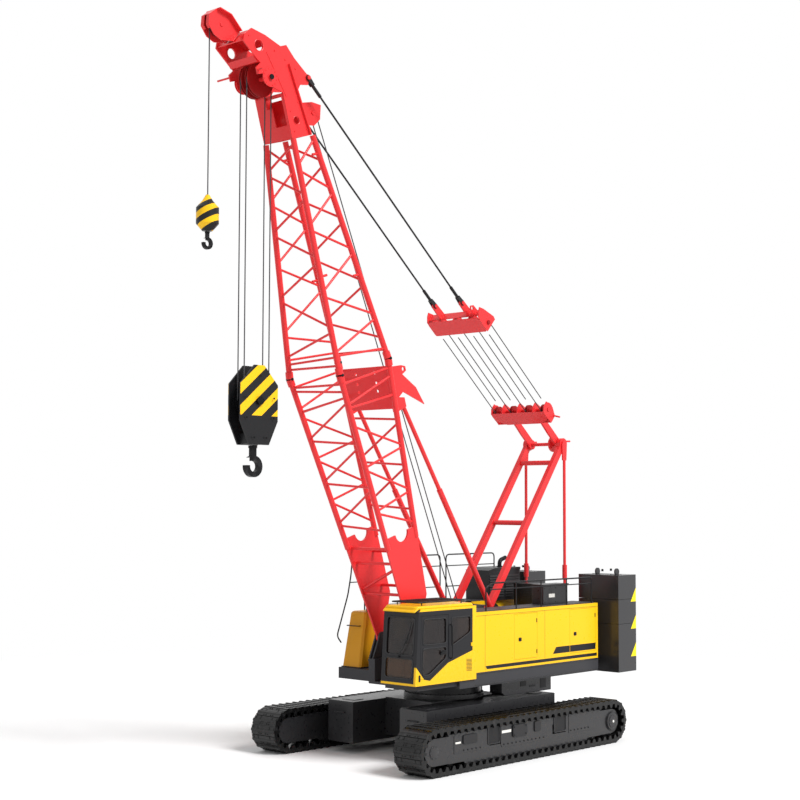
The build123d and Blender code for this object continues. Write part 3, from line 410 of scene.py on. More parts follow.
@dataclass(frozen=True)
class Tread:
    """Walkway plate: small raised studs in rows, rubbed lighter on top."""

    name: str
    colour: Colour
    pitch: float = 0.05

    def material(self) -> bpy.types.Material:
        """Build the plate: a stud is the product of two sine waves along slanted directions.

        Returns:
            The material.
        """
        tree = Tree(self.name)
        x, y, _ = tree.axes()
        rate = 2 * math.pi / self.pitch
        wave = ((x + y) * rate).math("SINE") * ((x - y) * rate).math("SINE")
        stud = wave.smooth(0.25, 0.6)
        wear = tree.noise(3.0, 4.0)
        colour = tree.mix(stud * wear.smooth(0.3, 0.7), self.colour, shade(self.colour, 2.4))
        tree.bump(stud, 0.003, 0.8)
        return tree.feed(Base_Color=colour, Roughness=(wear * 0.3 + 0.35).clamp(), Metallic=0.3)


@dataclass(frozen=True)
class Steel:
    """Bare or worn steel: dark scale, lighter patches that are partly worn steel and partly painted glints, and a
    little rust.
    """

    name: str
    colour: Colour
    rubbed_and_glint: Colour
    roughness: float = 0.45
    metallic: float = 0.1
    rust: float = 0.15
    grain: float = 9.0
    shine: float = 0.16

    def material(self) -> bpy.types.Material:
        """Build the steel.

        Returns:
            The material.
        """
        tree = Tree(self.name)
        patches = tree.noise(self.grain, 5.0)
        spots = tree.noise(3.1 * self.grain, 3.0)
        # the lighter patches are partly worn steel and partly painted glints, standing for bright specks of light
        # on the steel
        base = tree.mix(patches.smooth(0.52, 0.78), self.colour, self.rubbed_and_glint)
        rusty = spots.smooth(0.55, 0.8) * self.rust
        colour = tree.mix(rusty, base, (0.16, 0.075, 0.035))
        tree.bump(spots, 0.002, 0.4)
        return tree.feed(Base_Color=colour, Roughness=(patches * 0.25 + self.roughness - 0.12).clamp(),
                         Metallic=(self.metallic - rusty).clamp(), Specular_IOR_Level=self.shine)


@dataclass(frozen=True)
class Striped:
    """Paint with slanted warning stripes in two colours."""

    name: str
    first: Colour
    second: Colour
    across: Point
    period: float
    share: float = 0.5
    shift: float = 0.0
    roughness: float = 0.38
    low: float = -100.0
    face_y: float = 0.0

    def material(self) -> bpy.types.Material:
        """Build the stripes: a place measured along a slanted direction, cut into bands.

        Returns:
            The material.
        """
        tree = Tree(self.name)
        x, y, z = tree.axes()
        along = x * self.across[0] + y * self.across[1] + z * self.across[2] + self.shift
        band = (along / self.period % 1.0) < self.share
        inside = (z > self.low) * (y.math("ABSOLUTE") > self.face_y)
        worn = tree.noise(22.0, 4.0)
        colour = tree.mix(band * inside, self.first, self.second)
        colour = tree.mix(worn.smooth(0.62, 0.8) * 0.5, colour, shade(self.first, 1.5))
        tree.bump(tree.noise(150.0, 2.0), 0.0004, 0.5)
        return tree.feed(Base_Color=colour, Roughness=(worn * 0.2 + self.roughness - 0.1).clamp(),
                         Specular_IOR_Level=0.25)


@dataclass(frozen=True)
class Strand:
    """Wire rope: slanted strands round a straight line, greased and dark, with painted shade in the grooves
    between strands and lighter painted crests.
    """

    name: str
    colour: Colour
    lay: float = 0.12
    roughness: float = 0.45

    def material(self) -> bpy.types.Material:
        """Build the rope: bands that climb as they go round.

        Returns:
            The material.
        """
        tree = Tree(self.name)
        x, y, z = tree.axes()
        twist = ((x + y) * 40.0 + z / self.lay * 6.0) % 1.0
        groove = (twist - 0.5).math("ABSOLUTE") * 2.0
        grime = tree.noise(6.0, 4.0)
        # crests painted lighter and grooves between strands darker: painted highlight and painted shade for
        # strand relief the tube doesn't have; grime adds random dirt
        colour = tree.mix((groove * 0.6 + grime * 0.4).clamp(), shade(self.colour, 1.35),
                          shade(self.colour, 0.55))
        tree.bump(1 - groove, 0.002, 0.6)
        return tree.feed(Base_Color=colour, Roughness=self.roughness, Metallic=0.2, Specular_IOR_Level=0.25)


@dataclass(frozen=True)
class Glazing:
    """Tinted safety glass, thin, with a faint film of dust."""

    name: str
    tint: Colour
    foot_tint: Colour
    foot_z: float = 2.42
    foot_x: float = 2.76
    alpha: float = 0.5

    def material(self) -> bpy.types.Material:
        """Build the glass.

        Returns:
            The material.
        """
        tree = Tree(self.name)
        film = tree.noise(2.0, 5.0).smooth(0.4, 0.8)
        x, _, z = tree.axes()
        foot = (z < self.foot_z) * (x - SLEW_X > self.foot_x)
        colour = tree.mix(foot, self.tint, self.foot_tint)
        colour = tree.mix(film * 0.10, colour, shade(self.foot_tint, 2.0))
        return tree.feed(Base_Color=colour, Roughness=film * 0.10 + 0.04,
                         Alpha=(film * 0.12 + self.alpha).clamp(), IOR=1.5)


@dataclass(frozen=True)
class Moulded:
    """Moulded plastic or rubber with a fine leather-like grain."""

    name: str
    colour: Colour
    roughness: float = 0.6
    grain: float = 240.0

    def material(self) -> bpy.types.Material:
        """Build the plastic.

        Returns:
            The material.
        """
        tree = Tree(self.name)
        pebble = tree.number("ShaderNodeTexVoronoi", None,
                             {"Vector": tree.position(), "Scale": self.grain}, "Distance")
        fade = tree.noise(3.0)
        colour = tree.mix(fade, shade(self.colour, 0.85), shade(self.colour, 1.2))
        tree.bump(pebble, 0.0006, 0.4)
        return tree.feed(Base_Color=colour, Roughness=(fade * 0.2 + self.roughness - 0.1).clamp())


BLOCK_LOW, BLOCK_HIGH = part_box("hook_block")
STRIPES_FOOT = BLOCK_LOW[2] + 0.62
CHEEK_FACE = BLOCK_HIGH[1] - 0.048
RED = from_screen(226, 46, 49)
YELLOW = from_screen(246, 192, 24)
GREY = from_screen(38, 38, 40)
DARK = from_screen(30, 30, 32)
BLACK = from_screen(24, 24, 26)

# the record's slot behind each finish that has another name
SLOTS = {
    "DECK_PAINT": "grey_paint", "TANK_PAINT": "yellow_paint", "BLACK_TRIM": "dark_paint",
    "BLANK_SIGN": "grey_paint", "MARK_YELLOW": "hook_yellow", "CAB_PAINT": "yellow_paint",
    "TREAD_PLATE": "dark_paint", "PENDANT_STEEL": "rope_steel", "RUBBER": "seat_trim",
    "BLOCK_STRIPES": "hook_yellow", "BALL_STRIPES": "hook_yellow"}
# each finish's material, so that all its pieces share one
MADE: dict[str, bpy.types.Material] = {}


class Finish(Enum):
    """The finishes of the crane."""

    RED_PAINT = Paint("red_paint", RED, 0.32, 0.05, 0.0, shine=0.35)
    YELLOW_PAINT = Paint("yellow_paint", YELLOW, 0.30, 0.04, 0.05)
    GREY_PAINT = Paint("grey_paint", GREY, 0.30, 0.12, 0.015, shine=0.45)
    DARK_PAINT = Paint("dark_paint", DARK, 0.36, 0.12, 0.01, shine=0.3)
    WEIGHT_PAINT = Paint("weight_paint", from_screen(48, 48, 50), 0.22, 0.08, 0.0, shine=0.45)
    DECK_PAINT = Paint("deck_paint", from_screen(60, 60, 63), 0.36, 0.10, 0.01, shine=0.16)
    # yellow paint darkened to orange: painted shade of the tank's front, which faces away from the lamp
    TANK_PAINT = Paint("tank_paint", from_screen(206, 144, 26), 0.34, 0.05, 0.02)
    SHEAVE_PAINT = Paint("sheave_paint", from_screen(150, 20, 22), 0.42, 0.12, 0.0)
    BLACK_TRIM = Paint("black_trim", from_screen(26, 26, 28), 0.35, 0.10, 0.0)
    BLANK_SIGN = Paint("blank_sign", from_screen(222, 220, 214), 0.45, 0.05, 0.15)
    MARK_YELLOW = Paint("mark_yellow", from_screen(250, 226, 30), 0.40, 0.04, 0.0)
    CAB_PAINT = CabPaint("cab_paint", YELLOW, from_screen(30, 30, 33), from_screen(70, 70, 74))
    TREAD_PLATE = Tread("tread_plate", from_screen(52, 52, 55))
    # the second colour is the lighter patch colour: worn steel and painted glints
    TRACK_STEEL = Steel("track_steel", from_screen(12, 12, 13), from_screen(44, 44, 45), 0.30, 0.08, 0.02,
                        shine=0.35)
    FORGED_STEEL = Steel("forged_steel", from_screen(20, 20, 22), from_screen(44, 44, 46), 0.34, 0.1, 0.02)
    ROPE_STEEL = Strand("rope_steel", from_screen(66, 66, 68))
    PENDANT_STEEL = Strand("pendant_steel", from_screen(36, 36, 38))
    GLASS = Glazing("glass", from_screen(30, 24, 24), from_screen(70, 46, 24), alpha=0.70)
    SEAT_TRIM = Moulded("seat_trim", from_screen(36, 36, 40))
    RUBBER = Moulded("rubber", from_screen(30, 30, 32), 0.7)
    BLOCK_STRIPES = Striped("block_stripes", BLACK, YELLOW, (0.64, 0.0, 0.77), 0.36, 0.5, 0.0, 0.38,
                            STRIPES_FOOT, CHEEK_FACE)
    BALL_STRIPES = Striped("ball_stripes", BLACK, YELLOW, (0.33, -0.35, 0.88), 0.24, 0.5)

    def material(self) -> bpy.types.Material:
        """The finish's material, made once.

        Returns:
            The material.
        """
        if self.name not in MADE:
            MADE[self.name] = self.value.material()
        return MADE[self.name]

    def slot(self) -> str:
        """The record's material slot that stands behind the finish."""
        return SLOTS.get(self.name, self.value.name)


def dress(finish: Finish, *nodes: str) -> None:
    """Give solids a finish.

    Args:
        finish: the finish.
        nodes: names of the solids.
    """
    for name in nodes:
        for place in frame["nodes"][name].material_slots:
            place.material = finish.material()


# ------------------------------------------------------------------ shapes
def unit(vector: Point) -> np.ndarray:
    """A vector of length one along another."""
    array = np.asarray(vector, float)
    return array / np.linalg.norm(array)


def rounded(path: Sequence[Point], radius: float, steps: int = 5, closed: bool = False) -> np.ndarray:
    """Round the corners of a path: each becomes a parabola between its two sides.

    Args:
        path: corner points.
        radius: how far from a corner the rounding starts.
        steps: points along each rounding.
        closed: whether the last point joins the first.

    Returns:
        The finer path.
    """
    corners = np.asarray(path, float)
    count = len(corners)
    share = np.linspace(0, 1, steps)[:, None]
    pieces = []
    for index in range(count):
        here = corners[index]
        if not closed and index in (0, count - 1):
            pieces.append(here[None])
            continue
        before, after = corners[index - 1] - here, corners[(index + 1) % count] - here
        start = here + before * min(0.5, radius / np.linalg.norm(before))
        end = here + after * min(0.5, radius / np.linalg.norm(after))
        pieces.append((1 - share) ** 2 * start + 2 * share * (1 - share) * here + share ** 2 * end)
    return np.vstack(pieces)


@dataclass
class Shape:
    """Points and faces that become a piece; shapes are joined with +."""

    points: np.ndarray
    faces: list[tuple[int, ...]]

    def __add__(self, other: "Shape") -> "Shape":
        """Both shapes as one."""
        shift = len(self.points)
        return Shape(np.vstack([self.points, other.points]),
                     self.faces + [tuple(i + shift for i in face) for face in other.faces])

    def moved(self, *places: Point) -> "Shape":
        """Copies of the shape: every point plus every place.

        Args:
            places: where the copies go.

        Returns:
            All copies as one shape.
        """
        offsets = np.asarray(places, float)
        count = len(self.points)
        faces = [tuple(i + k * count for i in face) for k in range(len(offsets)) for face in self.faces]
        return Shape((self.points[None] + offsets[:, None]).reshape(-1, 3), faces)

    def mirrored(self) -> "Shape":
        """The shape and its mirror image across the middle plane of the machine."""
        other = Shape(self.points * (1, -1, 1), [face[::-1] for face in self.faces])
        return self + other

    @staticmethod
    def slab(outline: Sequence[Point], origin: Point, across: Point, upward: Point,
             thickness: float) -> "Shape":
        """A flat outline made thick: origin + a across + b upward, then up to thickness along the normal.

        Args:
            outline: pairs (a, b).
            origin: where a and b are zero.
            across: direction of a.
            upward: direction of b.
            thickness: along across x upward.

        Returns:
            The closed slab.
        """
        flat = np.asarray(outline, float)
        turn = np.roll(flat, -1, 0)
        if np.sum(flat[:, 0] * turn[:, 1] - turn[:, 0] * flat[:, 1]) < 0:
            flat = flat[::-1]
        across, upward = unit(across), unit(upward)
        base = np.asarray(origin, float) + flat[:, :1] * across + flat[:, 1:] * upward
        count = len(flat)
        sides = [(i, (i + 1) % count, count + (i + 1) % count, count + i) for i in range(count)]
        caps = [tuple(range(count))[::-1], tuple(range(count, 2 * count))]
        return Shape(np.vstack([base, base + np.cross(across, upward) * thickness]), sides + caps)

    @staticmethod
    def side(outline: Sequence[Point], y: float, thickness: float) -> "Shape":
        """A slab of x, z points standing along the machine.

        Args:
            outline: pairs (x, z), x seen from the slewing axis.
            y: the face nearer the middle.
            thickness: outwards, away from the middle.

        Returns:
            The slab.
        """
        if y >= 0:
            turned = [(-x, z) for x, z in outline]
            return Shape.slab(turned, (SLEW_X, y, 0), (-1, 0, 0), (0, 0, 1), thickness)
        return Shape.slab(outline, (SLEW_X, y, 0), (1, 0, 0), (0, 0, 1), thickness)

    @staticmethod
    def box(low: Point, high: Point) -> "Shape":
        """A box between two corners, x seen from the slewing axis."""
        (x0, y0, z0), (x1, y1, z1) = low, high
        corners = ((x0, y0), (x1, y0), (x1, y1), (x0, y1))
        return Shape.slab(corners, (SLEW_X, 0, z0), (1, 0, 0), (0, 1, 0), z1 - z0)

    @staticmethod
    def tube(path: Sequence[Point], radius: float, sides: int = 10, closed: bool = False) -> "Shape":
        """A circle carried along a path: point + radius (cos a n + sin a b), n carried on without twist.

        Args:
            path: points of the middle line.
            radius: of the tube.
            sides: corners of the circle.
            closed: whether the end joins the start.

        Returns:
            The closed tube.
        """
        line = np.asarray(path, float)
        if closed:
            ahead = np.roll(line, -1, 0) - np.roll(line, 1, 0)
        else:
            ahead = np.gradient(line, axis=0)
        ahead /= np.linalg.norm(ahead, axis=1)[:, None]
        side = np.cross(ahead[0], (0.31, 0.17, 0.93))
        normals = []
        for direction in ahead:
            side = side - direction * (side @ direction)
            side /= np.linalg.norm(side)
            normals.append(side)
        normal = np.array(normals)
        other = np.cross(ahead, normal)
        angle = np.linspace(0, 2 * np.pi, sides, endpoint=False)
        ring = np.cos(angle)[None, :, None] * normal[:, None] + np.sin(angle)[None, :, None] * other[:, None]
        points = (line[:, None] + radius * ring).reshape(-1, 3)
        rows = len(line)
        last = rows if closed else rows - 1
        faces = [(r * sides + c, r * sides + (c + 1) % sides, (r + 1) % rows * sides + (c + 1) % sides,
                  (r + 1) % rows * sides + c) for r in range(last) for c in range(sides)]
        if not closed:
            faces += [tuple(range(sides))[::-1], tuple(range((rows - 1) * sides, rows * sides))]
        return Shape(points, faces)

    @staticmethod
    def lathe(profile: Sequence[Point], centre: Point, axis: Point, sides: int = 24) -> "Shape":
        """A profile turned about an axis: centre + d axis + r (cos a u + sin a v).

        Args:
            profile: pairs (distance along the axis, radius).
            centre: where the distance is zero.
            axis: direction of the distance.
            sides: steps round.

        Returns:
            The closed solid of revolution.
        """
        axis = unit(axis)
        first = unit(np.cross(axis, (0.31, 0.17, 0.93)))
        second = np.cross(axis, first)
        angle = np.linspace(0, 2 * np.pi, sides, endpoint=False)
        ring = np.cos(angle)[:, None] * first + np.sin(angle)[:, None] * second
        pairs = np.asarray(profile, float)
        points = np.asarray(centre, float) + pairs[:, None, :1] * axis + pairs[:, None, 1:] * ring
        points = points.reshape(-1, 3)
        rows = len(pairs)
        faces = [(r * sides + c, r * sides + (c + 1) % sides, (r + 1) * sides + (c + 1) % sides,
                  (r + 1) * sides + c) for r in range(rows - 1) for c in range(sides)]
        faces += [tuple(range(sides))[::-1], tuple(range((rows - 1) * sides, rows * sides))]
        return Shape(points, faces)

    @staticmethod
    def bolts(places: Sequence[Point], axis: Point, radius: float = 0.016, height: float = 0.014) -> "Shape":
        """Hexagon heads at the places, standing along the axis."""
        profile = ((-0.002, radius), (0.8 * height, radius), (height, 0.8 * radius))
        return Shape.lathe(profile, (0, 0, 0), axis, 6).moved(*places)

    @staticmethod
    def circle(centre: Point, axis: Point, radius: float, count: int) -> list[np.ndarray]:
        """Places round a circle, for bolts: centre + radius (cos a u + sin a v).

        Args:
            centre: middle of the circle.
            axis: normal of its plane.
            radius: of the circle.
            count: how many places.

        Returns:
            The places.
        """
        axis = unit(axis)
        first = unit(np.cross(axis, (0.31, 0.17, 0.93)))
        second = np.cross(axis, first)
        angle = np.linspace(0, 2 * np.pi, count, endpoint=False)
        return list(np.asarray(centre, float) + radius * (np.cos(angle)[:, None] * first
                                                          + np.sin(angle)[:, None] * second))

    def piece(self, name: str, finish: "Finish", body: str, bevel: float = 0.0,
              smooth: float = 0.0) -> bpy.types.Object:
        """Make the piece, give it its finish and let it ride.

        Args:
            name: the piece's name.
            finish: its finish.
            body: the body that it moves with.
            bevel: width of its rounded edges.
            smooth: edges flatter than this many degrees are shaded round.

        Returns:
            The object.
        """
        data = bpy.data.meshes.new(name)
        data.from_pydata(self.points.tolist(), [], self.faces)
        data.update()
        piece = bpy.data.objects.new(name, data)
        bpy.context.scene.collection.objects.link(piece)
        data.materials.append(finish.material())
        if smooth:
            data.polygons.foreach_set("use_smooth", [True] * len(data.polygons))
            data.set_sharp_from_angle(angle=math.radians(smooth))
        if bevel:
            edge = piece.modifiers.new("edge", "BEVEL")
            edge.width = bevel
            edge.segments = 2
            edge.limit_method = "ANGLE"
        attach(piece, body)
        LOG.info("piece %s rides on %s", name, body)
        return piece


def joined(shapes: Iterable[Shape]) -> Shape:
    """Several shapes as one, in their order."""
    return functools.reduce(operator.add, shapes)


# ------------------------------------------------------------------ stage
@dataclass
class Stage:
    """Pale floor, soft light and the camera."""

    eye: Point = (26.122, 24.069, 5.854)
    yaw: float = 222.943
    pitch: float = 3.639
    roll: float = 0.155
    lens: float = 67.39
    shift: tuple[float, float] = (-0.0004, 0.0089)
    sun_from: Point = (-0.15, 1.0, 0.95)
    sun_power: float = 3.15
    sky: float = 0.56

    def camera(self) -> None:
        """Place the camera from its heading, pitch and roll."""
        yaw, pitch, roll = (math.radians(a) for a in (self.yaw, self.pitch, self.roll))
        ahead = Vector((math.cos(yaw) * math.cos(pitch), math.sin(yaw) * math.cos(pitch), math.sin(pitch)))
        right = Vector((math.sin(yaw), -math.cos(yaw), 0.0))
        upward = right.cross(ahead)
        turned = right * math.cos(roll) + upward * math.sin(roll)
        crown = upward * math.cos(roll) - right * math.sin(roll)
        data = bpy.data.cameras.new("camera")
        data.lens = self.lens
        data.sensor_width = 36.0
        data.shift_x, data.shift_y = self.shift
        data.clip_end = 400.0
        camera = bpy.data.objects.new("camera", data)
        turn = Matrix((turned, crown, -ahead)).transposed().to_4x4()
        camera.matrix_world = Matrix.Translation(self.eye) @ turn
        bpy.context.scene.collection.objects.link(camera)
        bpy.context.scene.camera = camera

    def lights(self) -> None:
        """One broad soft lamp and an even sky that the camera sees as white."""
        data = bpy.data.lights.new("key", "SUN")
        data.energy = self.sun_power
        data.angle = math.radians(24)
        lamp = bpy.data.objects.new("key", data)
        lamp.matrix_world = Vector(self.sun_from).to_track_quat("Z", "Y").to_matrix().to_4x4()
        bpy.context.scene.collection.objects.link(lamp)
        world = bpy.data.worlds.new("sky")
        bpy.context.scene.world = world
        world.use_nodes = True
        nodes, links = world.node_tree.nodes, world.node_tree.links
        background = nodes["Background"]
        path = nodes.new("ShaderNodeLightPath")
        seen = nodes.new("ShaderNodeMath")
        seen.operation = "MAXIMUM"
        links.new(path.outputs["Is Camera Ray"], seen.inputs[0])
        links.new(path.outputs["Is Transmission Ray"], seen.inputs[1])
        mirror = nodes.new("ShaderNodeMath")
        mirror.operation = "MAXIMUM"
        links.new(seen.outputs[0], mirror.inputs[0])
        links.new(path.outputs["Is Glossy Ray"], mirror.inputs[1])
        level = nodes.new("ShaderNodeMapRange")
        level.inputs["To Min"].default_value = self.sky
        level.inputs["To Max"].default_value = 1.0
        links.new(mirror.outputs[0], level.inputs["Value"])
        links.new(level.outputs[0], background.inputs["Strength"])
        background.inputs["Color"].default_value = (1.0, 1.0, 1.0, 1.0)

    def floor(self) -> None:
        """A round pale floor that fades to white away from the machine."""
        rings = np.array([0.0, 6.0, 12.0, 20.0, 40.0, 120.0])
        turn = np.linspace(0, 2 * np.pi, 65)
        radius, angle = np.meshgrid(rings, turn, indexing="ij")
        points = np.stack([radius * np.cos(angle), radius * np.sin(angle), 0 * radius - 0.002], -1)
        index = np.arange(points.shape[0] * points.shape[1]).reshape(points.shape[:2])
        faces = np.stack([index[:-1, :-1], index[1:, :-1], index[1:, 1:], index[:-1, 1:]], -1).reshape(-1, 4)
        data = bpy.data.meshes.new("floor")
        data.from_pydata(points.reshape(-1, 3).tolist(), [], faces.tolist())
        floor = bpy.data.objects.new("floor", data)
        bpy.context.scene.collection.objects.link(floor)
        tree = Tree("floor")
        x, y, _ = tree.axes()
        away = ((x * x + y * y) ** 0.5).smooth(9.0, 26.0)
        glow = tree.node("ShaderNodeEmission", None, {"Color": (1.0, 1.0, 1.0, 1.0), "Strength": 1.0})
        tree.feed(Base_Color=(0.93, 0.93, 0.93), Roughness=0.9)
        blend = tree.node("ShaderNodeMixShader", None,
                          {0: away, 1: tree.shader.outputs[0], 2: glow.outputs[0]})
        tree.links.new(blend.outputs[0], tree.nodes["Material Output"].inputs["Surface"])
        floor.data.materials.append(tree.material)

    def build(self) -> None:
        """Set the stage."""
        self.camera()
        self.lights()
        self.floor()


def at(x: float, y: float, z: float) -> np.ndarray:
    """A point of the machine, x seen from the slewing axis."""
    return np.array((SLEW_X + x, y, z))


def on_boom(u: float, v: float, y: float) -> np.ndarray:
    """A point of the boom: u along it, v towards its back, y to the left."""
    return np.array((FOOT[0] + u * math.cos(RAKE) - v * math.sin(RAKE), y,
                     FOOT[2] + u * math.sin(RAKE) + v * math.cos(RAKE)))


def low_high(node: str) -> tuple[np.ndarray, np.ndarray]:
    """Lowest and highest corners of a solid."""
    low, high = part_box(node)
    return np.array(low, float), np.array(high, float)


# ------------------------------------------------------------------ sub-assemblies
@dataclass
class Undercarriage:
    """Tracks, side frames and carbody."""

    wheel_base: float = 6.528
    axle_z: float = 0.526
    belt_radius: float = 0.482
    plate_top: float = 0.024
    shoes: int = 72
    gauge: float = 4.570
    frame_half: float = 0.310
    pocket_spans: tuple = ((1.06, 1.47), (-1.40, -0.95))
    body: str = "undercarriage"

    def loop(self, along: np.ndarray, y: np.ndarray, height: np.ndarray) -> np.ndarray:
        """Places on the loop of a track: two straight runs joined by half circles.

        Args:
            along: distance round the loop.
            y: across the machine.
            height: outside the link line.

        Returns:
            Points.
        """
        half, arc = self.wheel_base / 2, np.pi * self.belt_radius
        along = along % (2 * (self.wheel_base + arc))
        reach = self.belt_radius + height
        first = np.pi / 2 - (along - self.wheel_base) / self.belt_radius
        second = -np.pi / 2 - (along - 2 * self.wheel_base - arc) / self.belt_radius
        runs = [along < self.wheel_base, along < self.wheel_base + arc, along < 2 * self.wheel_base + arc]
        x = np.select(runs, [along - half, half + reach * np.cos(first),
                             half - (along - self.wheel_base - arc)], -half + reach * np.cos(second))
        z = np.select(runs, [reach, reach * np.sin(first), -reach], reach * np.sin(second))
        return np.stack([x + SLEW_X, y, z + self.axle_z], -1)

    def shoe_parts(self) -> Shape:
        """Bolt heads, wear ribs and guide horns of every shoe, bent round the loop with it."""
        pitch = 2 * (self.wheel_base + np.pi * self.belt_radius) / self.shoes
        flat = Shape.bolts([(0.85 * pitch, y, self.plate_top) for y in (-0.15, -0.08, 0.08, 0.15)], (0, 0, 1),
                           0.017, 0.013)
        for y in (-0.365, -0.215, 0.180, 0.330):
            x0, x1 = 0.12 * pitch, 0.36 * pitch
            flat += Shape.slab(((x0, y), (x1, y), (x1, y + 0.035), (x0, y + 0.035)),
                               (0, 0, self.plate_top - 0.002), (1, 0, 0), (0, 1, 0), 0.010)
        for y in (-0.395, 0.335):
            horn = ((0.18 * pitch, -0.058), (0.82 * pitch, -0.058),
                    (0.62 * pitch, -0.150), (0.38 * pitch, -0.150))
            flat += Shape.slab(horn, (0, y + 0.060, 0), (1, 0, 0), (0, 0, 1), 0.060)
        shape = flat.moved(*[(index * pitch, 0, 0) for index in range(self.shoes)])
        local = shape.points
        left = Shape(self.loop(local[:, 0], local[:, 1] + self.gauge / 2, local[:, 2]), shape.faces)
        return left.mirrored()

    def frame_parts(self) -> None:
        """Plates, rims, bolts, caps and blank signs on the side frames, and black sheets over the pocket openings
        as painted shade.
        """
        face = self.gauge / 2 + self.frame_half
        plates = Shape.side(((-0.62, 0.38), (0.98, 0.38), (1.02, 0.45), (1.02, 1.00), (0.70, 1.06),
                             (-0.62, 1.06)), face - 0.004, 0.014)
        plates += Shape.side(((-2.55, 0.42), (-1.52, 0.42), (-1.52, 1.02), (-2.40, 1.02), (-2.55, 0.90)),
                             face - 0.004, 0.014)
        plates += Shape.side(((1.66, 0.42), (2.62, 0.42), (2.62, 0.80), (2.30, 0.96), (1.66, 0.96)),
                             face - 0.004, 0.014)
        plates.mirrored().piece("frame_plates", Finish.GREY_PAINT, self.body, 0.004)
        outlines = [((rear, 0.50), (front, 0.50), (front, 1.02), (rear, 1.02))
                    for rear, front in self.pocket_spans]
        # black sheets over the pocket openings: painted shade inside the recesses
        pocket_shade = joined(Shape.side(outline, face - 0.003, 0.006) for outline in outlines)
        frames = joined(Shape.tube(rounded([at(x, face + 0.006, z) for x, z in outline], 0.03, 4, True),
                                   0.014, 8, True) for outline in outlines)
        pocket_shade.mirrored().piece("frame_pockets", Finish.BLACK_TRIM, self.body)
        frames.mirrored().piece("frame_rims", Finish.GREY_PAINT, self.body, 0.0, 60)
        cover = Shape.side(rounded(((0.10, 0.56), (0.62, 0.56), (0.62, 0.84), (0.10, 0.84)), 0.06, 4, True),
                           face + 0.010, 0.035)
        cover += Shape.side(rounded(((-0.42, 0.60), (-0.18, 0.60), (-0.18, 0.84), (-0.42, 0.84)), 0.05, 4,
                                    True), face + 0.010, 0.028)
        cover += Shape.side(rounded(((1.86, 0.60), (2.34, 0.60), (2.34, 0.80), (1.86, 0.80)), 0.05, 4, True),
                            face + 0.010, 0.030)
        cover.mirrored().piece("frame_covers", Finish.DARK_PAINT, self.body, 0.008)
        spots = [at(x, face + 0.010, z) for z in (0.44, 0.99) for x in np.arange(-0.54, 0.95, 0.145)]
        spots += [at(x, face + 0.010, z) for z in (0.48, 0.96) for x in np.arange(-2.30, -1.55, 0.14)]
        spots += [at(x, face + 0.010, z) for z in (0.47, 0.90) for x in (1.74, 1.88, 2.02, 2.16, 2.30)]
        spots += [at(x, face + 0.044, z) for x in (0.15, 0.57) for z in (0.61, 0.79)]
        bolts = Shape.bolts(spots, (0, 1, 0), 0.018, 0.016).mirrored()
        bolts.piece("frame_bolts", Finish.DARK_PAINT, self.body)
        signs = Shape.side(((0.66, 0.69), (0.99, 0.69), (0.99, 0.75), (0.66, 0.75)), face + 0.010, 0.003)
        signs += Shape.side(((2.40, 0.63), (2.58, 0.63), (2.58, 0.67), (2.40, 0.67)), face + 0.010, 0.003)
        signs.mirrored().piece("frame_signs", Finish.BLANK_SIGN, self.body)

    def wheel_parts(self) -> None:
        """Covers and bolt circles of the final drives and idlers."""
        _, high = low_high("final_drives")
        x, y = SLEW_X - self.wheel_base / 2, high[1]
        ring = Shape.lathe(((-0.050, 0.218), (-0.020, 0.214), (-0.012, 0.196), (-0.012, 0.165)),
                           (x, y, self.axle_z), (0, 1, 0), 40)
        ring += Shape.lathe(((-0.002, 0.105), (0.010, 0.098), (0.012, 0.060)), (x, y - 0.006, self.axle_z),
                            (0, 1, 0), 32)
        ring += Shape.bolts(Shape.circle((x, y - 0.024, self.axle_z), (0, 1, 0), 0.198, 18), (0, 1, 0),
                            0.012, 0.012)
        ring += Shape.bolts(Shape.circle((x, y, self.axle_z), (0, 1, 0), 0.130, 12), (0, 1, 0), 0.010, 0.008)
        ring.mirrored().piece("drive_covers", Finish.GREY_PAINT, self.body, 0.002, 35)
        sign = Shape.lathe(((0, 0.032), (0.003, 0.032)), (x, y + 0.005, self.axle_z), (0, 1, 0), 24)
        sign.mirrored().piece("drive_signs", Finish.BLANK_SIGN, self.body)
        face = self.gauge / 2 + self.frame_half
        front = SLEW_X + self.wheel_base / 2
        cap = Shape.lathe(((-0.02, 0.150), (0.010, 0.145), (0.022, 0.110), (0.024, 0.040)),
                          (front, face, self.axle_z), (0, 1, 0), 36)
        cap += Shape.bolts(Shape.circle((front, face + 0.014, self.axle_z), (0, 1, 0), 0.124, 8), (0, 1, 0),
                           0.014, 0.012)
        cap.mirrored().piece("idler_caps", Finish.GREY_PAINT, self.body, 0.003, 35)

    def carbody_parts(self) -> None:
        """Ring bolts, lids and lifting eyes of the carbody."""
        ring_low, _ = low_high("slew_ring")
        bolts = Shape.bolts(Shape.circle((SLEW_X, 0, ring_low[2]), (0, 0, 1), 0.930, 48), (0, 0, 1),
                            0.017, 0.020)
        bolts.piece("ring_bolts", Finish.DARK_PAINT, self.body)
        seams = Shape.box((-2.34, 0.745, 1.197), (2.34, 1.56, 1.204))
        for x in (-1.95, 1.95):
            seams += Shape.box((x - 0.16, 0.95, 1.20), (x + 0.16, 1.35, 1.214))
        eyes = Shape.tube(rounded([at(2.352, 1.0, 0.95), at(2.41, 1.0, 0.95), at(2.41, 1.3, 0.95),
                                   at(2.352, 1.3, 0.95)], 0.03), 0.012)
        seams.mirrored().piece("carbody_lids", Finish.GREY_PAINT, self.body, 0.004)
        eyes.mirrored().piece("carbody_grips", Finish.DARK_PAINT, self.body, 0.0, 60)

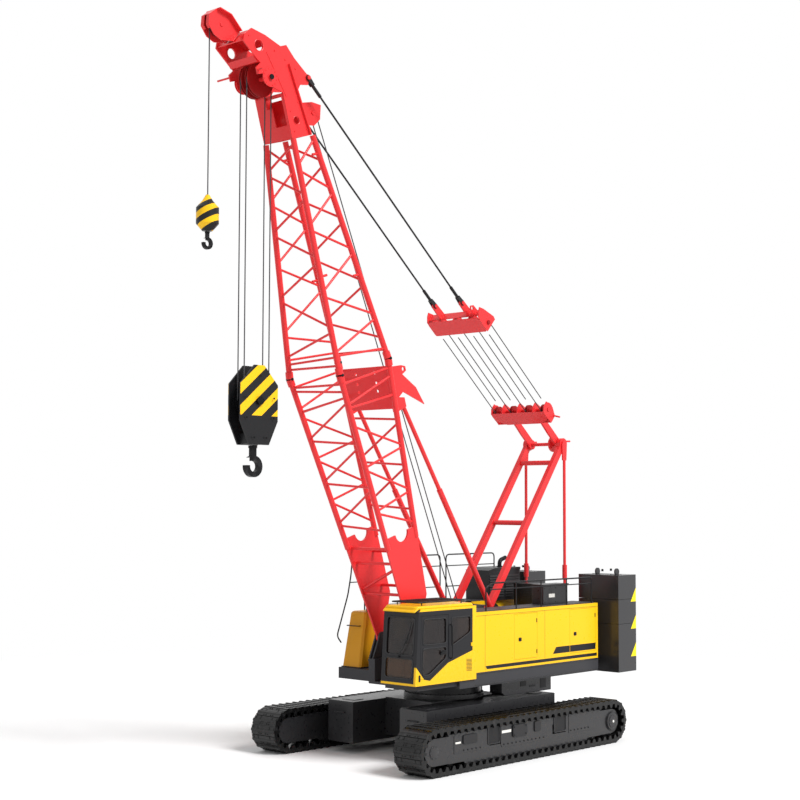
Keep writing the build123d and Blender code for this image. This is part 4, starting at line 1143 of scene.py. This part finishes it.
    def build(self) -> None:
        """Dress the solids and add the pieces."""
        dress(Finish.TRACK_STEEL, "track_left", "track_right", "idlers", "rollers")
        dress(Finish.GREY_PAINT, "track_frame_left", "track_frame_right", "carbody", "final_drives")
        dress(Finish.DARK_PAINT, "slew_ring")
        self.shoe_parts().piece("shoe_parts", Finish.TRACK_STEEL, self.body)
        self.frame_parts()
        self.wheel_parts()
        self.carbody_parts()


@dataclass
class Cab:
    """The operator's cab: window seals, roof, guard, handles and controls."""

    side_y: float = 1.700
    inner_y: float = 0.650
    sill_x: float = 2.880
    sill_z: float = 1.810
    rake: float = 0.0693
    body: str = "upper"
    door: str = "cab_door"

    def front(self, y: float, z: float, out: float = 0.0) -> np.ndarray:
        """A point on the raked front."""
        return at(self.sill_x - self.rake * (z - self.sill_z) + out, y, z)

    def seals(self) -> None:
        """Rubber round the windows: a thin tube along each rounded outline."""
        side = self.side_y + 0.001
        door = [((1.845, 2.70), (2.63, 2.70), (2.605, 3.26), (1.845, 3.26)),
                ((1.845, 2.37), (2.425, 2.03), (2.65, 2.03), (2.635, 2.62), (1.845, 2.62))]
        shape = joined(Shape.tube(rounded([at(x, side, z) for x, z in outline], 0.07, 5, True), 0.014, 8, True)
                       for outline in door)
        shape.piece("door_seals", Finish.RUBBER, self.door, 0.0, 60)
        quarter = [at(x, side, z) for x, z in ((1.00, 2.90), (1.66, 2.62), (1.66, 3.26), (1.00, 3.26))]
        shape = Shape.tube(rounded(quarter, 0.07, 5, True), 0.014, 8, True)
        right = [at(x, self.inner_y - 0.001, z)
                 for x, z in ((1.00, 2.40), (2.64, 2.40), (2.605, 3.26), (1.00, 3.26))]
        shape += Shape.tube(rounded(right, 0.07, 5, True), 0.014, 8, True)
        for low, high in ((2.47, 3.30), (1.96, 2.40)):
            corners = [self.front(y, z, 0.002)
                       for y, z in ((0.76, low), (1.59, low), (1.59, high), (0.76, high))]
            shape += Shape.tube(rounded(corners, 0.09, 5, True), 0.016, 8, True)
        shape.piece("cab_seals", Finish.RUBBER, self.body, 0.0, 60)

    def roof(self) -> None:
        """Rounded cap, front visor lip and the bar guard above it."""
        top = low_high("cab_shell")[1][2]
        corners = ((0.83, 0.67), (2.80, 0.67), (2.80, 1.68), (0.83, 1.68))
        cap = Shape.slab(rounded(corners, 0.14, 6, True), (SLEW_X, 0, top - 0.012), (1, 0, 0), (0, 1, 0), 0.075)
        cap.piece("cab_roof", Finish.YELLOW_PAINT, self.body, 0.030, 40)
        lip = Shape.slab(((0, 0), (0.115, -0.055), (0.115, -0.030), (0.02, 0.045), (-0.10, 0.06)),
                         at(2.745, 1.66, top - 0.02), (1, 0, 0), (0, 0, 1), 0.97)
        lip.piece("cab_visor", Finish.YELLOW_PAINT, self.body, 0.008, 30)
        level = top + 0.135
        frame_line = rounded([at(1.05, 0.76, level), at(2.66, 0.76, level), at(2.66, 1.58, level),
                              at(1.05, 1.58, level)], 0.08, 5, True)
        guard = Shape.tube(frame_line, 0.017, 8, True)
        for x in np.arange(1.20, 2.60, 0.155):
            guard += Shape.tube([at(x, 0.76, level), at(x, 1.17, level + 0.012), at(x, 1.58, level)], 0.010, 6)
        for x in (1.15, 2.50):
            for y in (0.80, 1.54):
                guard += Shape.tube([at(x, y, top + 0.04), at(x, y, level)], 0.013, 8)
        guard.piece("cab_guard", Finish.BLACK_TRIM, self.body, 0.0, 60)

    def fittings(self) -> None:
        """Door handle, catch, grille, grip and wiper."""
        side = self.side_y
        slat = ((0.96, 0.0), (1.15, 0.012), (1.15, 0.024), (0.96, 0.012))
        grille = joined(Shape.side([(x, 2.02 + 0.031 * index + z) for x, z in slat], side, 0.004)
                        for index in range(9))
        grille += Shape.side(rounded(((2.715, 1.90), (2.775, 1.90), (2.775, 2.05), (2.715, 2.05)), 0.03, 5,
                                     True), side, 0.006)
        grille.piece("cab_grille", Finish.BLACK_TRIM, self.body)
        catch = Shape.side(rounded(((0.93, 2.575), (1.00, 2.575), (1.00, 2.655), (0.93, 2.655)), 0.02, 4, True),
                           side, 0.022)
        catch.piece("cab_catch", Finish.YELLOW_PAINT, self.body, 0.004)
        handle = Shape.tube(rounded([at(1.88, side, 2.50), at(1.88, side + 0.045, 2.50),
                                     at(2.02, side + 0.045, 2.50), at(2.02, side, 2.50)], 0.03), 0.010, 8)
        handle += Shape.box((1.86, side - 0.004, 2.45), (2.04, side + 0.006, 2.545))
        handle.piece("door_handle", Finish.BLACK_TRIM, self.door, 0.0, 60)
        grip = Shape.tube(rounded([at(1.70, side - 0.01, 2.35), at(1.70, side + 0.06, 2.35),
                                   at(1.70, side + 0.06, 3.10), at(1.70, side - 0.01, 3.10)], 0.05), 0.014, 10)
        grip.piece("cab_grip", Finish.BLACK_TRIM, self.body, 0.0, 60)
        wiper = Shape.tube([self.front(1.16, 2.435, 0.03), self.front(1.30, 2.62, 0.035),
                            self.front(1.47, 3.00, 0.022)], 0.007, 8)
        wiper += Shape.tube([self.front(1.38, 2.72, 0.014), self.front(1.52, 3.22, 0.014)], 0.009, 6)
        wiper += Shape.lathe(((0, 0.03), (0.035, 0.028)), self.front(1.16, 2.435, 0.0), (1, 0, 0.07), 16)
        wiper.piece("cab_wiper", Finish.BLACK_TRIM, self.body, 0.0, 60)

    def inside(self) -> None:
        """Cushions, arm rests, levers and a console."""
        y = self.side_y - 0.525
        soft = Shape.slab(rounded(((1.20, y - 0.24), (1.71, y - 0.24), (1.71, y + 0.24), (1.20, y + 0.24)),
                                  0.08, 5, True), (SLEW_X, 0, 2.372), (1, 0, 0), (0, 1, 0), 0.055)
        soft += Shape.slab(rounded(((y - 0.22, 2.42), (y + 0.22, 2.42), (y + 0.20, 2.99), (y - 0.20, 2.99)),
                                   0.09, 5, True), at(1.202, 0, 0), (0, 1, 0), (0, 0, 1), 0.06)
        soft.piece("seat_cushions", Finish.SEAT_TRIM, self.body, 0.02, 50)
        arms = (y - 0.33, y + 0.33)
        hard = joined(Shape.box((1.24, arm - 0.06, 2.50), (1.70, arm + 0.06, 2.57))
                      + Shape.tube([at(1.62, arm, 2.57), at(1.64, arm, 2.72)], 0.012, 8)
                      + Shape.lathe(((0, 0.018), (0.05, 0.026), (0.08, 0.014)), at(1.64, arm, 2.71),
                                    (0, 0, 1), 16)
                      for arm in arms)
        hard += Shape.box((1.86, self.inner_y + 0.07, 1.87), (2.20, self.inner_y + 0.24, 2.62))
        hard += Shape.slab(((0, 0), (0.26, 0), (0.26, 0.18), (0, 0.18)), at(2.42, self.inner_y + 0.30, 2.62),
                           (0.35, -1, 0), (-0.2, 0, 1), 0.03)
        hard.piece("cab_controls", Finish.SEAT_TRIM, self.body, 0.010, 50)

    def build(self) -> None:
        """Dress the solids and add the pieces."""
        dress(Finish.CAB_PAINT, "cab_shell", "cab_door")
        dress(Finish.GLASS, "cab_glass", "cab_door_glass")
        dress(Finish.SEAT_TRIM, "cab_seat")
        self.seals()
        self.roof()
        self.fittings()
        self.inside()


@dataclass
class Upperworks:
    """Deck, housings, tank, winches and counterweight."""

    side_y: float = 1.650
    roof_z: float = 3.320
    body: str = "upper"
    door_spans: tuple = ((-1.550, -0.660, "front"), (-3.950, -2.860, "rear"))
    drums: tuple = ((-0.350, 2.850, 0.260), (0.560, 2.720, 0.230), (-1.350, 3.080, 0.230))
    hoops: tuple = ((-0.20, -1.68), (-1.91, -3.87))

    def housing_parts(self) -> None:
        """Seams, stripes, bands and latches of the side housings, and the walkways on their roofs."""
        y = self.side_y
        seams = joined(Shape.side(((x - 0.004, 1.98), (x + 0.004, 1.98), (x + 0.004, 3.24), (x - 0.004, 3.24)),
                                  y, 0.0012) for x in (0.42, -1.85))
        seams += Shape.side(((-4.04, 3.232), (0.79, 3.232), (0.79, 3.240), (-4.04, 3.240)), y, 0.0012)
        stripe = Shape.side(((-4.00, 1.995), (0.36, 1.995), (0.40, 2.070), (-4.00, 2.070)), y, 0.003)
        band = Shape.side(((-2.852, 2.165), (-2.17, 2.165), (-2.30, 2.325), (-2.852, 2.325)), y, 0.003)
        (seams + stripe + band).mirrored().piece("housing_stripes", Finish.BLACK_TRIM, self.body)
        for sign, side in ((1, "left"), (-1, "right")):
            for rear, front, place in self.door_spans:
                body = f"door_{side}_{place}"
                x = front - 0.22
                plate = Shape.side(rounded(((x - 0.055, 2.555), (x + 0.055, 2.555), (x + 0.055, 2.645),
                                            (x - 0.055, 2.645)), 0.02, 4, True), sign * y, 0.008)
                plate += Shape.side(((x - 0.030, 2.585), (x + 0.030, 2.585), (x + 0.030, 2.615),
                                     (x - 0.030, 2.615)), sign * (y + 0.008), 0.012)
                if place == "rear":
                    plate += Shape.side(((rear + 0.012, 2.165), (front - 0.012, 2.165), (front - 0.012, 2.325),
                                         (rear + 0.012, 2.325)), sign * y, 0.003)
                for z in (2.28, 3.02):
                    plate += Shape.lathe(((-0.05, 0.013), (0.05, 0.013)),
                                         at(rear + 0.022, sign * (y + 0.004), z), (0, 0, 1), 12)
                plate.piece(f"latches_{side}_{place}", Finish.BLACK_TRIM, body, 0.002)
        roof = Shape.slab(rounded(((-3.98, 0.93), (0.72, 0.93), (0.72, 1.60), (-3.98, 1.60)), 0.04, 3, True),
                          (SLEW_X, 0, self.roof_z - 0.004), (1, 0, 0), (0, 1, 0), 0.028)
        roof.mirrored().piece("roof_walkways", Finish.TREAD_PLATE, self.body, 0.004)

    def tank(self) -> None:
        """Tapered tank in yellow paint darkened as painted shade, with a hatch, a folded front and a dark foot.
        """
        low, _ = low_high("front_tank")
        foot, top = low[2] + 0.02, low[2] + 1.32
        rows = np.array((foot, foot + 0.04, top - 0.05, top - 0.015, top))
        share = np.clip((rows - foot) / (top - foot), 0, 1)
        inset = np.array((0.0, 0.0, 0.0, 0.02, 0.06))
        rear = np.full(5, 0.84) + inset
        front = 1.83 - 0.25 * share - inset
        right, left = -1.65 + 0.03 * share + inset, -1.03 - 0.06 * share - inset
        chamfer = 0.05
        rings = [[(r, a), (f - chamfer, a), (f, a + chamfer), (f, b - chamfer), (f - chamfer, b), (r, b)]
                 for r, f, a, b in zip(rear, front, right, left)]
        points = np.array([(SLEW_X + x, y, z) for ring, z in zip(rings, rows) for x, y in ring])
        faces = [(r * 6 + c, r * 6 + (c + 1) % 6, (r + 1) * 6 + (c + 1) % 6, (r + 1) * 6 + c)
                 for r in range(4) for c in range(6)]
        faces += [tuple(range(6))[::-1], tuple(range(24, 30))]
        body = Shape(points, faces).piece("tank", Finish.TANK_PAINT, self.body, 0.008)
        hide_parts("front_tank")
        hatch = Shape.slab(((1.00, foot + 0.14), (1.60, foot + 0.14), (1.46, top - 0.16), (1.00, top - 0.16)),
                           (SLEW_X, -1.035, 0), (1, 0, 0), (0, -0.046, 1), 0.004)
        hatch = hatch.moved((0, 0.004, 0))
        hatch.piece("tank_hatch", Finish.TANK_PAINT, self.body, 0.002)
        cap = Shape.lathe(((0, 0.09), (0.05, 0.085), (0.06, 0.03)), at(1.20, -1.34, top - 0.002), (0, 0, 1), 24)
        cap += Shape.box((0.84, -1.65, foot - 0.02), (1.84, -1.02, foot + 0.002))
        cap.piece("tank_foot", Finish.DARK_PAINT, self.body, 0.004, 40)

    def rails(self) -> None:
        """Hand rails: bent tube round the roof and beside the tank."""
        z = self.roof_z
        rails = Shape.tube(rounded([at(0.33, 1.60, z), at(0.33, 1.60, z + 0.56), at(0.03, 1.60, z + 0.65),
                                   at(-3.85, 1.60, z + 0.65), at(-3.85, 1.60, z)], 0.08), 0.019, 10)
        rails += Shape.tube([at(0.18, 1.60, z + 0.50), at(-3.85, 1.60, z + 0.50)], 0.014, 8)
        for x in (-0.80, -1.77, -2.80):
            rails += Shape.tube([at(x, 1.60, z), at(x, 1.60, z + 0.65)], 0.016, 8)
        top = z + 1.19
        for front, rear in self.hoops:
            rails += Shape.tube(rounded([at(front, -1.60, z), at(front, -1.60, top),
                                         at(rear, -1.60, top), at(rear, -1.60, z)], 0.12), 0.018, 10)
            for level in (0.37, 0.90):
                rails += Shape.tube([at(front, -1.60, z + level), at(rear, -1.60, z + level)], 0.014, 8)
            middle = (front + rear) / 2
            rails += Shape.tube([at(middle, -1.60, z), at(middle, -1.60, top)], 0.014, 8)
        tank = [at(1.90, -1.60, 2.50), at(2.04, -1.60, 2.66), at(1.68, -1.60, 3.62), at(1.58, -1.60, 4.08),
                at(1.54, -1.60, 4.42), at(1.10, -1.60, 4.42), at(1.10, -1.60, 3.20)]
        rails += Shape.tube(rounded(tank, 0.09), 0.017, 10)
        rails += Shape.tube(rounded([at(1.50, -1.12, 3.20), at(1.52, -1.12, 4.42), at(1.02, -1.12, 4.42),
                                    at(1.02, -1.12, 3.20)], 0.09), 0.017, 10)
        rails += Shape.tube([at(1.10, -1.60, 3.92), at(1.61, -1.60, 3.92)], 0.013, 8)
        rails += Shape.tube([at(1.02, -1.12, 3.92), at(1.51, -1.12, 3.92)], 0.013, 8)
        rails += Shape.tube(rounded([at(1.66, -1.58, 2.90), at(1.74, -1.58, 2.90), at(1.72, -1.20, 2.90),
                                    at(1.64, -1.20, 2.90)], 0.03), 0.012, 8)
        rails.piece("rails", Finish.BLACK_TRIM, self.body, 0.0, 60)

    def coil(self, x: float, z: float, radius: float) -> Shape:
        """Rope wound on a drum: a scalloped profile, four points to each turn, turned about the drum's axis.

        Args:
            x: of the drum, seen from the slewing axis.
            z: of the drum.
            radius: of the drum.

        Returns:
            The rope.
        """
        half, turns = 0.385, 27
        step = 2 * half / turns
        scallop = ((0.0, 0.0), (0.25, 0.011), (0.5, 0.015), (0.75, 0.011))
        profile = [(-half + step * (index + share), radius + 0.004 + rise)
                   for index in range(turns) for share, rise in scallop]
        profile.append((half, radius + 0.004))
        return Shape.lathe(profile, at(x, 0, z), (0, 1, 0), 28)

    def drive_case(self, x: float, z: float, sign: int) -> Shape:
        """Stepped cover with a ring of bolts at one end of a drum.

        Args:
            x: of the drum, seen from the slewing axis.
            z: of the drum.
            sign: 1 for the left end, -1 for the right.

        Returns:
            The cover.
        """
        steps = ((0, 0.170), (0.05, 0.165), (0.06, 0.120), (0.12, 0.110), (0.13, 0.05))
        cover = Shape.lathe(steps, at(x, sign * 0.462, z), (0, sign, 0), 28)
        places = Shape.circle(at(x, sign * 0.51, z), (0, 1, 0), 0.142, 10)
        return cover + Shape.bolts(places, (0, sign, 0), 0.011)

    def machinery(self) -> None:
        """Winch ropes and drives, louvres, exhaust and the roof box with its lid and sign."""
        ropes = joined(self.coil(x, z, radius) for x, z, radius in self.drums)
        cases = joined(self.drive_case(x, z, sign) for x, z, _ in self.drums for sign in (-1, 1))
        ropes.piece("drum_ropes", Finish.ROPE_STEEL, self.body, 0.0, 60)
        cases.piece("winch_drives", Finish.GREY_PAINT, self.body, 0.003, 35)
        low, high = low_high("engine_hood")
        slat = ((0, 0), (0.022, -0.034), (0.022, -0.028), (0, 0.012))
        louvres = joined(Shape.slab(slat, at(rear, high[1] - 0.001, low[2] + 0.12 + 0.065 * index),
                                    (0, 1, 0), (0, 0, 1), front - rear)
                         for index in range(9) for rear, front in ((-3.90, -3.34), (-3.26, -2.70)))
        top = Shape.slab(((-3.96, 4.095), (-2.64, 4.095), (-2.90, 4.16), (-3.96, 4.16)), (SLEW_X, -0.77, 0),
                         (1, 0, 0), (0, 0, 1), 0.79)
        louvres += top
        low, high = low_high("radiator_housing")
        for z in np.arange(2.35, 3.70, 0.045):
            louvres += Shape.box((high[0] - SLEW_X - 0.001, low[1] + 0.05, z),
                                 (high[0] - SLEW_X + 0.010, high[1] - 0.05, z + 0.018))
        louvres.piece("louvres", Finish.DARK_PAINT, self.body, 0.002)
        pipe = rounded([at(-3.55, -1.15, 4.14), at(-3.55, -1.15, 4.33), at(-3.80, -1.15, 4.40)], 0.10, 6)
        stack = Shape.tube(pipe, 0.055, 20) + Shape.lathe(((0, 0.075), (0.03, 0.075)), at(-3.55, -1.15, 4.155),
                                                         (0, 0, 1), 24)
        stack.piece("exhaust", Finish.FORGED_STEEL, self.body, 0.0, 50)
        tray = Shape.box((-3.20, 0.98, self.roof_z + 0.02), (-2.20, 1.34, self.roof_z + 0.50))
        tray.piece("roof_box", Finish.GREY_PAINT, self.body, 0.012)
        lid = Shape.box((-3.22, 0.96, self.roof_z + 0.49), (-2.18, 1.36, self.roof_z + 0.515))
        lid += Shape.bolts([at(x, 1.341, self.roof_z + z) for x in (-3.14, -2.70, -2.26) for z in (0.08, 0.42)],
                           (0, 1, 0), 0.014, 0.010)
        lid.piece("roof_box_lid", Finish.DARK_PAINT, self.body, 0.005)
        sign = Shape.side(((-2.66, 3.51), (-2.42, 3.51), (-2.42, 3.60), (-2.66, 3.60)), 1.3405, 0.003)
        sign.piece("roof_box_sign", Finish.BLANK_SIGN, self.body)

    def deck_parts(self) -> None:
        """The swing gear cover below the deck, edge strips and foot pins."""
        outline = ((-2.42, 1.262), (-0.62, 1.262), (-0.50, 1.34), (-0.50, 1.622), (-2.42, 1.622))
        cover = Shape.side(outline, 1.02, 0.38)
        cover.piece("gear_cover", Finish.GREY_PAINT, self.body, 0.012)
        # black plates on the gear cover where its slots are: painted shade inside the slot openings
        slots = Shape.side(((-1.42, 1.44), (-1.20, 1.44), (-1.20, 1.56), (-1.42, 1.56)), 1.401, 0.006)
        slots += Shape.side(((-1.78, 1.40), (-1.55, 1.40), (-1.55, 1.44), (-1.78, 1.44)), 1.401, 0.006)
        slots += Shape.side(((-2.20, 1.34), (-1.98, 1.34), (-1.98, 1.58), (-2.20, 1.58)), 1.401, 0.006)
        slots.piece("gear_slots", Finish.BLACK_TRIM, self.body)
        edge = joined(Shape.side(((-4.05, low), (0.78, low), (0.78, high), (-4.05, high)),
                                 self.side_y - 0.001, 0.012)
                      for low, high in ((1.645, 1.668), (1.905, 1.930)))
        edge.mirrored().piece("deck_edges", Finish.GREY_PAINT, self.body, 0.003)
        pins = joined(Shape.lathe(((0, 0.075), (0.020, 0.072), (0.022, 0.03)), at(x, y, z), (0, 1, 0), 24)
                      for x, z, y in ((1.63, 2.68, 0.62), (-0.75, 2.90, 0.62), (-1.17, 2.90, 0.79)))
        pins.mirrored().piece("foot_pins", Finish.FORGED_STEEL, self.body, 0.002, 40)

    def weights(self) -> None:
        """Warning triangles and tie rod nuts of the counterweight."""
        low, high = low_high("counterweight_blocks")
        rear, side = low[0] - SLEW_X, high[1]
        levels, rise = (3.33, 2.64, 1.94), 0.345
        marks = joined(Shape.side(((rear + 0.002, z), (rear + 0.235, z), (rear + 0.002, z + rise)), side, 0.003)
                       for z in levels).mirrored()
        marks += joined(Shape.slab(((y, z), (y + 0.22, z), (y + 0.44, z + rise), (y + 0.22, z + rise)),
                                   at(rear, 0, 0), (0, -1, 0), (0, 0, 1), 0.003)
                        for z in levels for y in (-2.05, -2.05 + 0.48, 1.10, 1.10 + 0.48))
        marks.piece("warning_marks", Finish.MARK_YELLOW, self.body)
        rods = joined(Shape.lathe(((-0.02, 0.030), (0.035, 0.030), (0.040, 0.020)), at(x, y, high[2] - 0.06),
                                  (0, 0, 1), 6) for y in (-1.45, 1.45) for x in (-4.55, -4.93))
        rods.piece("weight_nuts", Finish.FORGED_STEEL, self.body, 0.002)

    def build(self) -> None:
        """Dress the solids and add the pieces."""
        doors = [f"service_door_{side}_{place}" for side in ("left", "right") for place in ("front", "rear")]
        dress(Finish.DECK_PAINT, "deck_frame")
        dress(Finish.YELLOW_PAINT, "housing_left", "housing_right", *doors)
        dress(Finish.DARK_PAINT, "engine", "engine_hood", "radiator_housing", "winches")
        dress(Finish.WEIGHT_PAINT, "counterweight_base", "counterweight_blocks")
        self.housing_parts()
        self.tank()
        self.rails()
        self.machinery()
        self.deck_parts()
        self.weights()


@dataclass
class Boom:
    """Lattice boom, gantry, bail and backstops."""

    joint_u: float = 6.500
    head_u: float = 11.720
    joint_half: float = 0.805
    head_half_width: float = 0.440
    head_half_depth: float = 0.300
    head_pin: tuple[float, float] = (13.08, -0.60)
    pegs: tuple = ((11.30, 1, 1), (8.50, 1, 1), (8.68, -1, 1), (11.30, 1, -1), (8.50, 1, -1))

    def chord(self, u: float, back: int, side: int) -> np.ndarray:
        """A point on a chord of the upper section: the section narrows evenly towards the head.

        Args:
            u: along the boom.
            back: 1 for a back chord, -1 for a front chord.
            side: 1 for left, -1 for right.

        Returns:
            The point.
        """
        share = (u - self.joint_u) / (self.head_u - self.joint_u)
        v = self.joint_half + (self.head_half_depth - self.joint_half) * share
        y = self.joint_half + (self.head_half_width - self.joint_half) * share
        return on_boom(u, back * v, side * y)

    def peg(self, u: float, back: int, side: int) -> Shape:
        """A short peg on a chord, pointing along the side of the boom.

        Args:
            u: along the boom.
            back: 1 for a back chord, -1 for a front chord.
            side: 1 for left, -1 for right.

        Returns:
            The peg.
        """
        start = self.chord(u, back, side)
        inward = unit(self.chord(u, -back, side) - start)
        return Shape.tube([start + inward * 0.05, start + inward * 0.20], 0.030, 12)

    def chord_parts(self) -> None:
        """Short pegs on the chords and pins through the joint's knuckles."""
        pegs = joined(self.peg(u, back, side) for u, back, side in self.pegs)
        pegs.piece("chord_pegs", Finish.RED_PAINT, "boom", 0.004, 50)
        profile = ((-0.105, 0.026), (-0.100, 0.032), (0.100, 0.032), (0.105, 0.026))
        pins = joined(Shape.lathe(profile, self.chord(self.joint_u, back, side), (0, 1, 0), 16)
                      for back in (-1, 1) for side in (-1, 1))
        pins.piece("joint_pins", Finish.FORGED_STEEL, "boom", 0.0, 50)

    def head_parts(self) -> None:
        """Bolt circles, hole rims, stiffeners and rope guards of the head."""
        face = self.head_half_width + 0.018
        outward = np.array((0.0, 1.0, 0.0))
        trim = Shape.lathe(((0, 0.215), (0.012, 0.212), (0.014, 0.150)), on_boom(*self.head_pin, face),
                           outward, 36)
        trim += Shape.bolts(Shape.circle(on_boom(*self.head_pin, face + 0.012), outward, 0.178, 12), outward,
                            0.014)
        for u, v, radius in ((13.77, -0.73, 0.115), (12.09, -0.10, 0.085)):
            circle = Shape.circle(on_boom(u, v, face), outward, radius + 0.010, 28)
            trim += Shape.tube(circle, 0.011, 8, True)
        spots = [on_boom(u, v, face) for u, v in ((11.86, -0.22), (11.86, 0.16), (12.30, -0.22), (12.46, 0.06),
                                                 (13.62, -0.30), (13.40, -0.05), (13.18, 0.20), (14.00, -0.95))]
        trim += Shape.bolts(spots, outward, 0.018, 0.016)
        start, end = on_boom(12.62, -0.25, face), on_boom(13.62, -0.55, face)
        trim += Shape.tube([start, (start + end) / 2 + outward * 0.002, end], 0.014, 8)
        trim.mirrored().piece("head_trim", Finish.RED_PAINT, "boom", 0.0, 40)
        pins = Shape.lathe(((0, 0.060), (0.020, 0.056), (0.022, 0.02)), on_boom(*self.head_pin, 0.505),
                           outward, 20)
        pins.mirrored().piece("head_pins", Finish.FORGED_STEEL, "boom", 0.0, 40)

    def rig_parts(self) -> None:
        """Ends of the sheave pins on the bail and the spreader."""
        for name in ("spreader", "bail"):
            low, high = low_high(f"{name}_sheaves")
            middle = (low + high) / 2
            end = Shape.lathe(((0, 0.055), (0.018, 0.050), (0.020, 0.02)),
                              middle + np.array((0, high[1] - middle[1] + 0.068, 0)), (0, 1, 0), 20)
            end.mirrored().piece(f"{name}_pins", Finish.SHEAVE_PAINT, name, 0.0, 40)

    def build(self) -> None:
        """Dress the solids and add the pieces."""
        dress(Finish.RED_PAINT, "boom_heel", "boom_butt", "boom_butt_lacing", "boom_joint", "boom_top",
              "boom_top_lacing", "boom_head", "tip_sheave_frame", "rope_guide", "gantry", "gantry_struts", "bail",
              "spreader", "backstop_tubes", "backstop_rods")
        dress(Finish.SHEAVE_PAINT, "boom_sheaves", "spreader_sheaves", "bail_sheaves")
        dress(Finish.PENDANT_STEEL, "pendants")
        dress(Finish.ROPE_STEEL, "upper_falls", "lower_falls", "hoist_lines", "head_falls", "block_falls",
              "auxiliary_line")
        self.chord_parts()
        self.head_parts()
        self.rig_parts()


@dataclass
class Hooks:
    """Main block and auxiliary ball."""

    def build(self) -> None:
        """Dress the solids and add the pieces."""
        dress(Finish.BLOCK_STRIPES, "hook_block")
        dress(Finish.BALL_STRIPES, "auxiliary_ball")
        dress(Finish.FORGED_STEEL, "main_hook", "auxiliary_hook")
        low, high = low_high("hook_block")
        middle = (low + high) / 2
        hub = (middle[0], high[1], middle[2] + 0.09)
        caps = Shape.lathe(((0, 0.095), (0.018, 0.090), (0.022, 0.045)), hub, (0, 1, 0), 28)
        caps += Shape.bolts(Shape.circle(hub, (0, 1, 0), 0.070, 6), (0, 1, 0), 0.011, 0.030)
        caps += Shape.bolts([(middle[0] + x, high[1], middle[2] + z) for x, z in
                             ((-0.38, 0.15), (0.38, 0.15), (-0.38, -0.28), (0.38, -0.28), (-0.17, -0.70),
                              (0.17, -0.70), (0.0, 0.62))], (0, 1, 0), 0.022, 0.020)
        other = Shape(caps.points * (1, -1, 1) + (0, 2 * middle[1], 0), [face[::-1] for face in caps.faces])
        (caps + other).piece("block_bolts", Finish.FORGED_STEEL, "hook_block", 0.0, 35)
        for node in ("main_hook", "auxiliary_hook"):
            low, high = low_high(node)
            size = (high[2] - low[2]) / 0.675
            x, y, z = (low[0] + high[0]) / 2, (low[1] + high[1]) / 2, high[2]
            nut = Shape.lathe(((0, 0.075 * size), (0.07 * size, 0.075 * size), (0.08 * size, 0.06 * size)),
                              (x, y, z - 0.10 * size), (0, 0, 1), 6)
            nut.piece(f"{node}_nut", Finish.FORGED_STEEL, node, 0.004)


def main() -> None:
    """Build the crane's looks in order."""
    logging.basicConfig(level=logging.INFO, format="%(message)s")
    bpy.context.scene.view_settings.view_transform = "Standard"
    Stage().build()
    for part in (Undercarriage(), Cab(), Upperworks(), Boom(), Hooks()):
        part.build()
        LOG.info("built %s", type(part).__name__)


if __name__ == "__main__":
    main()
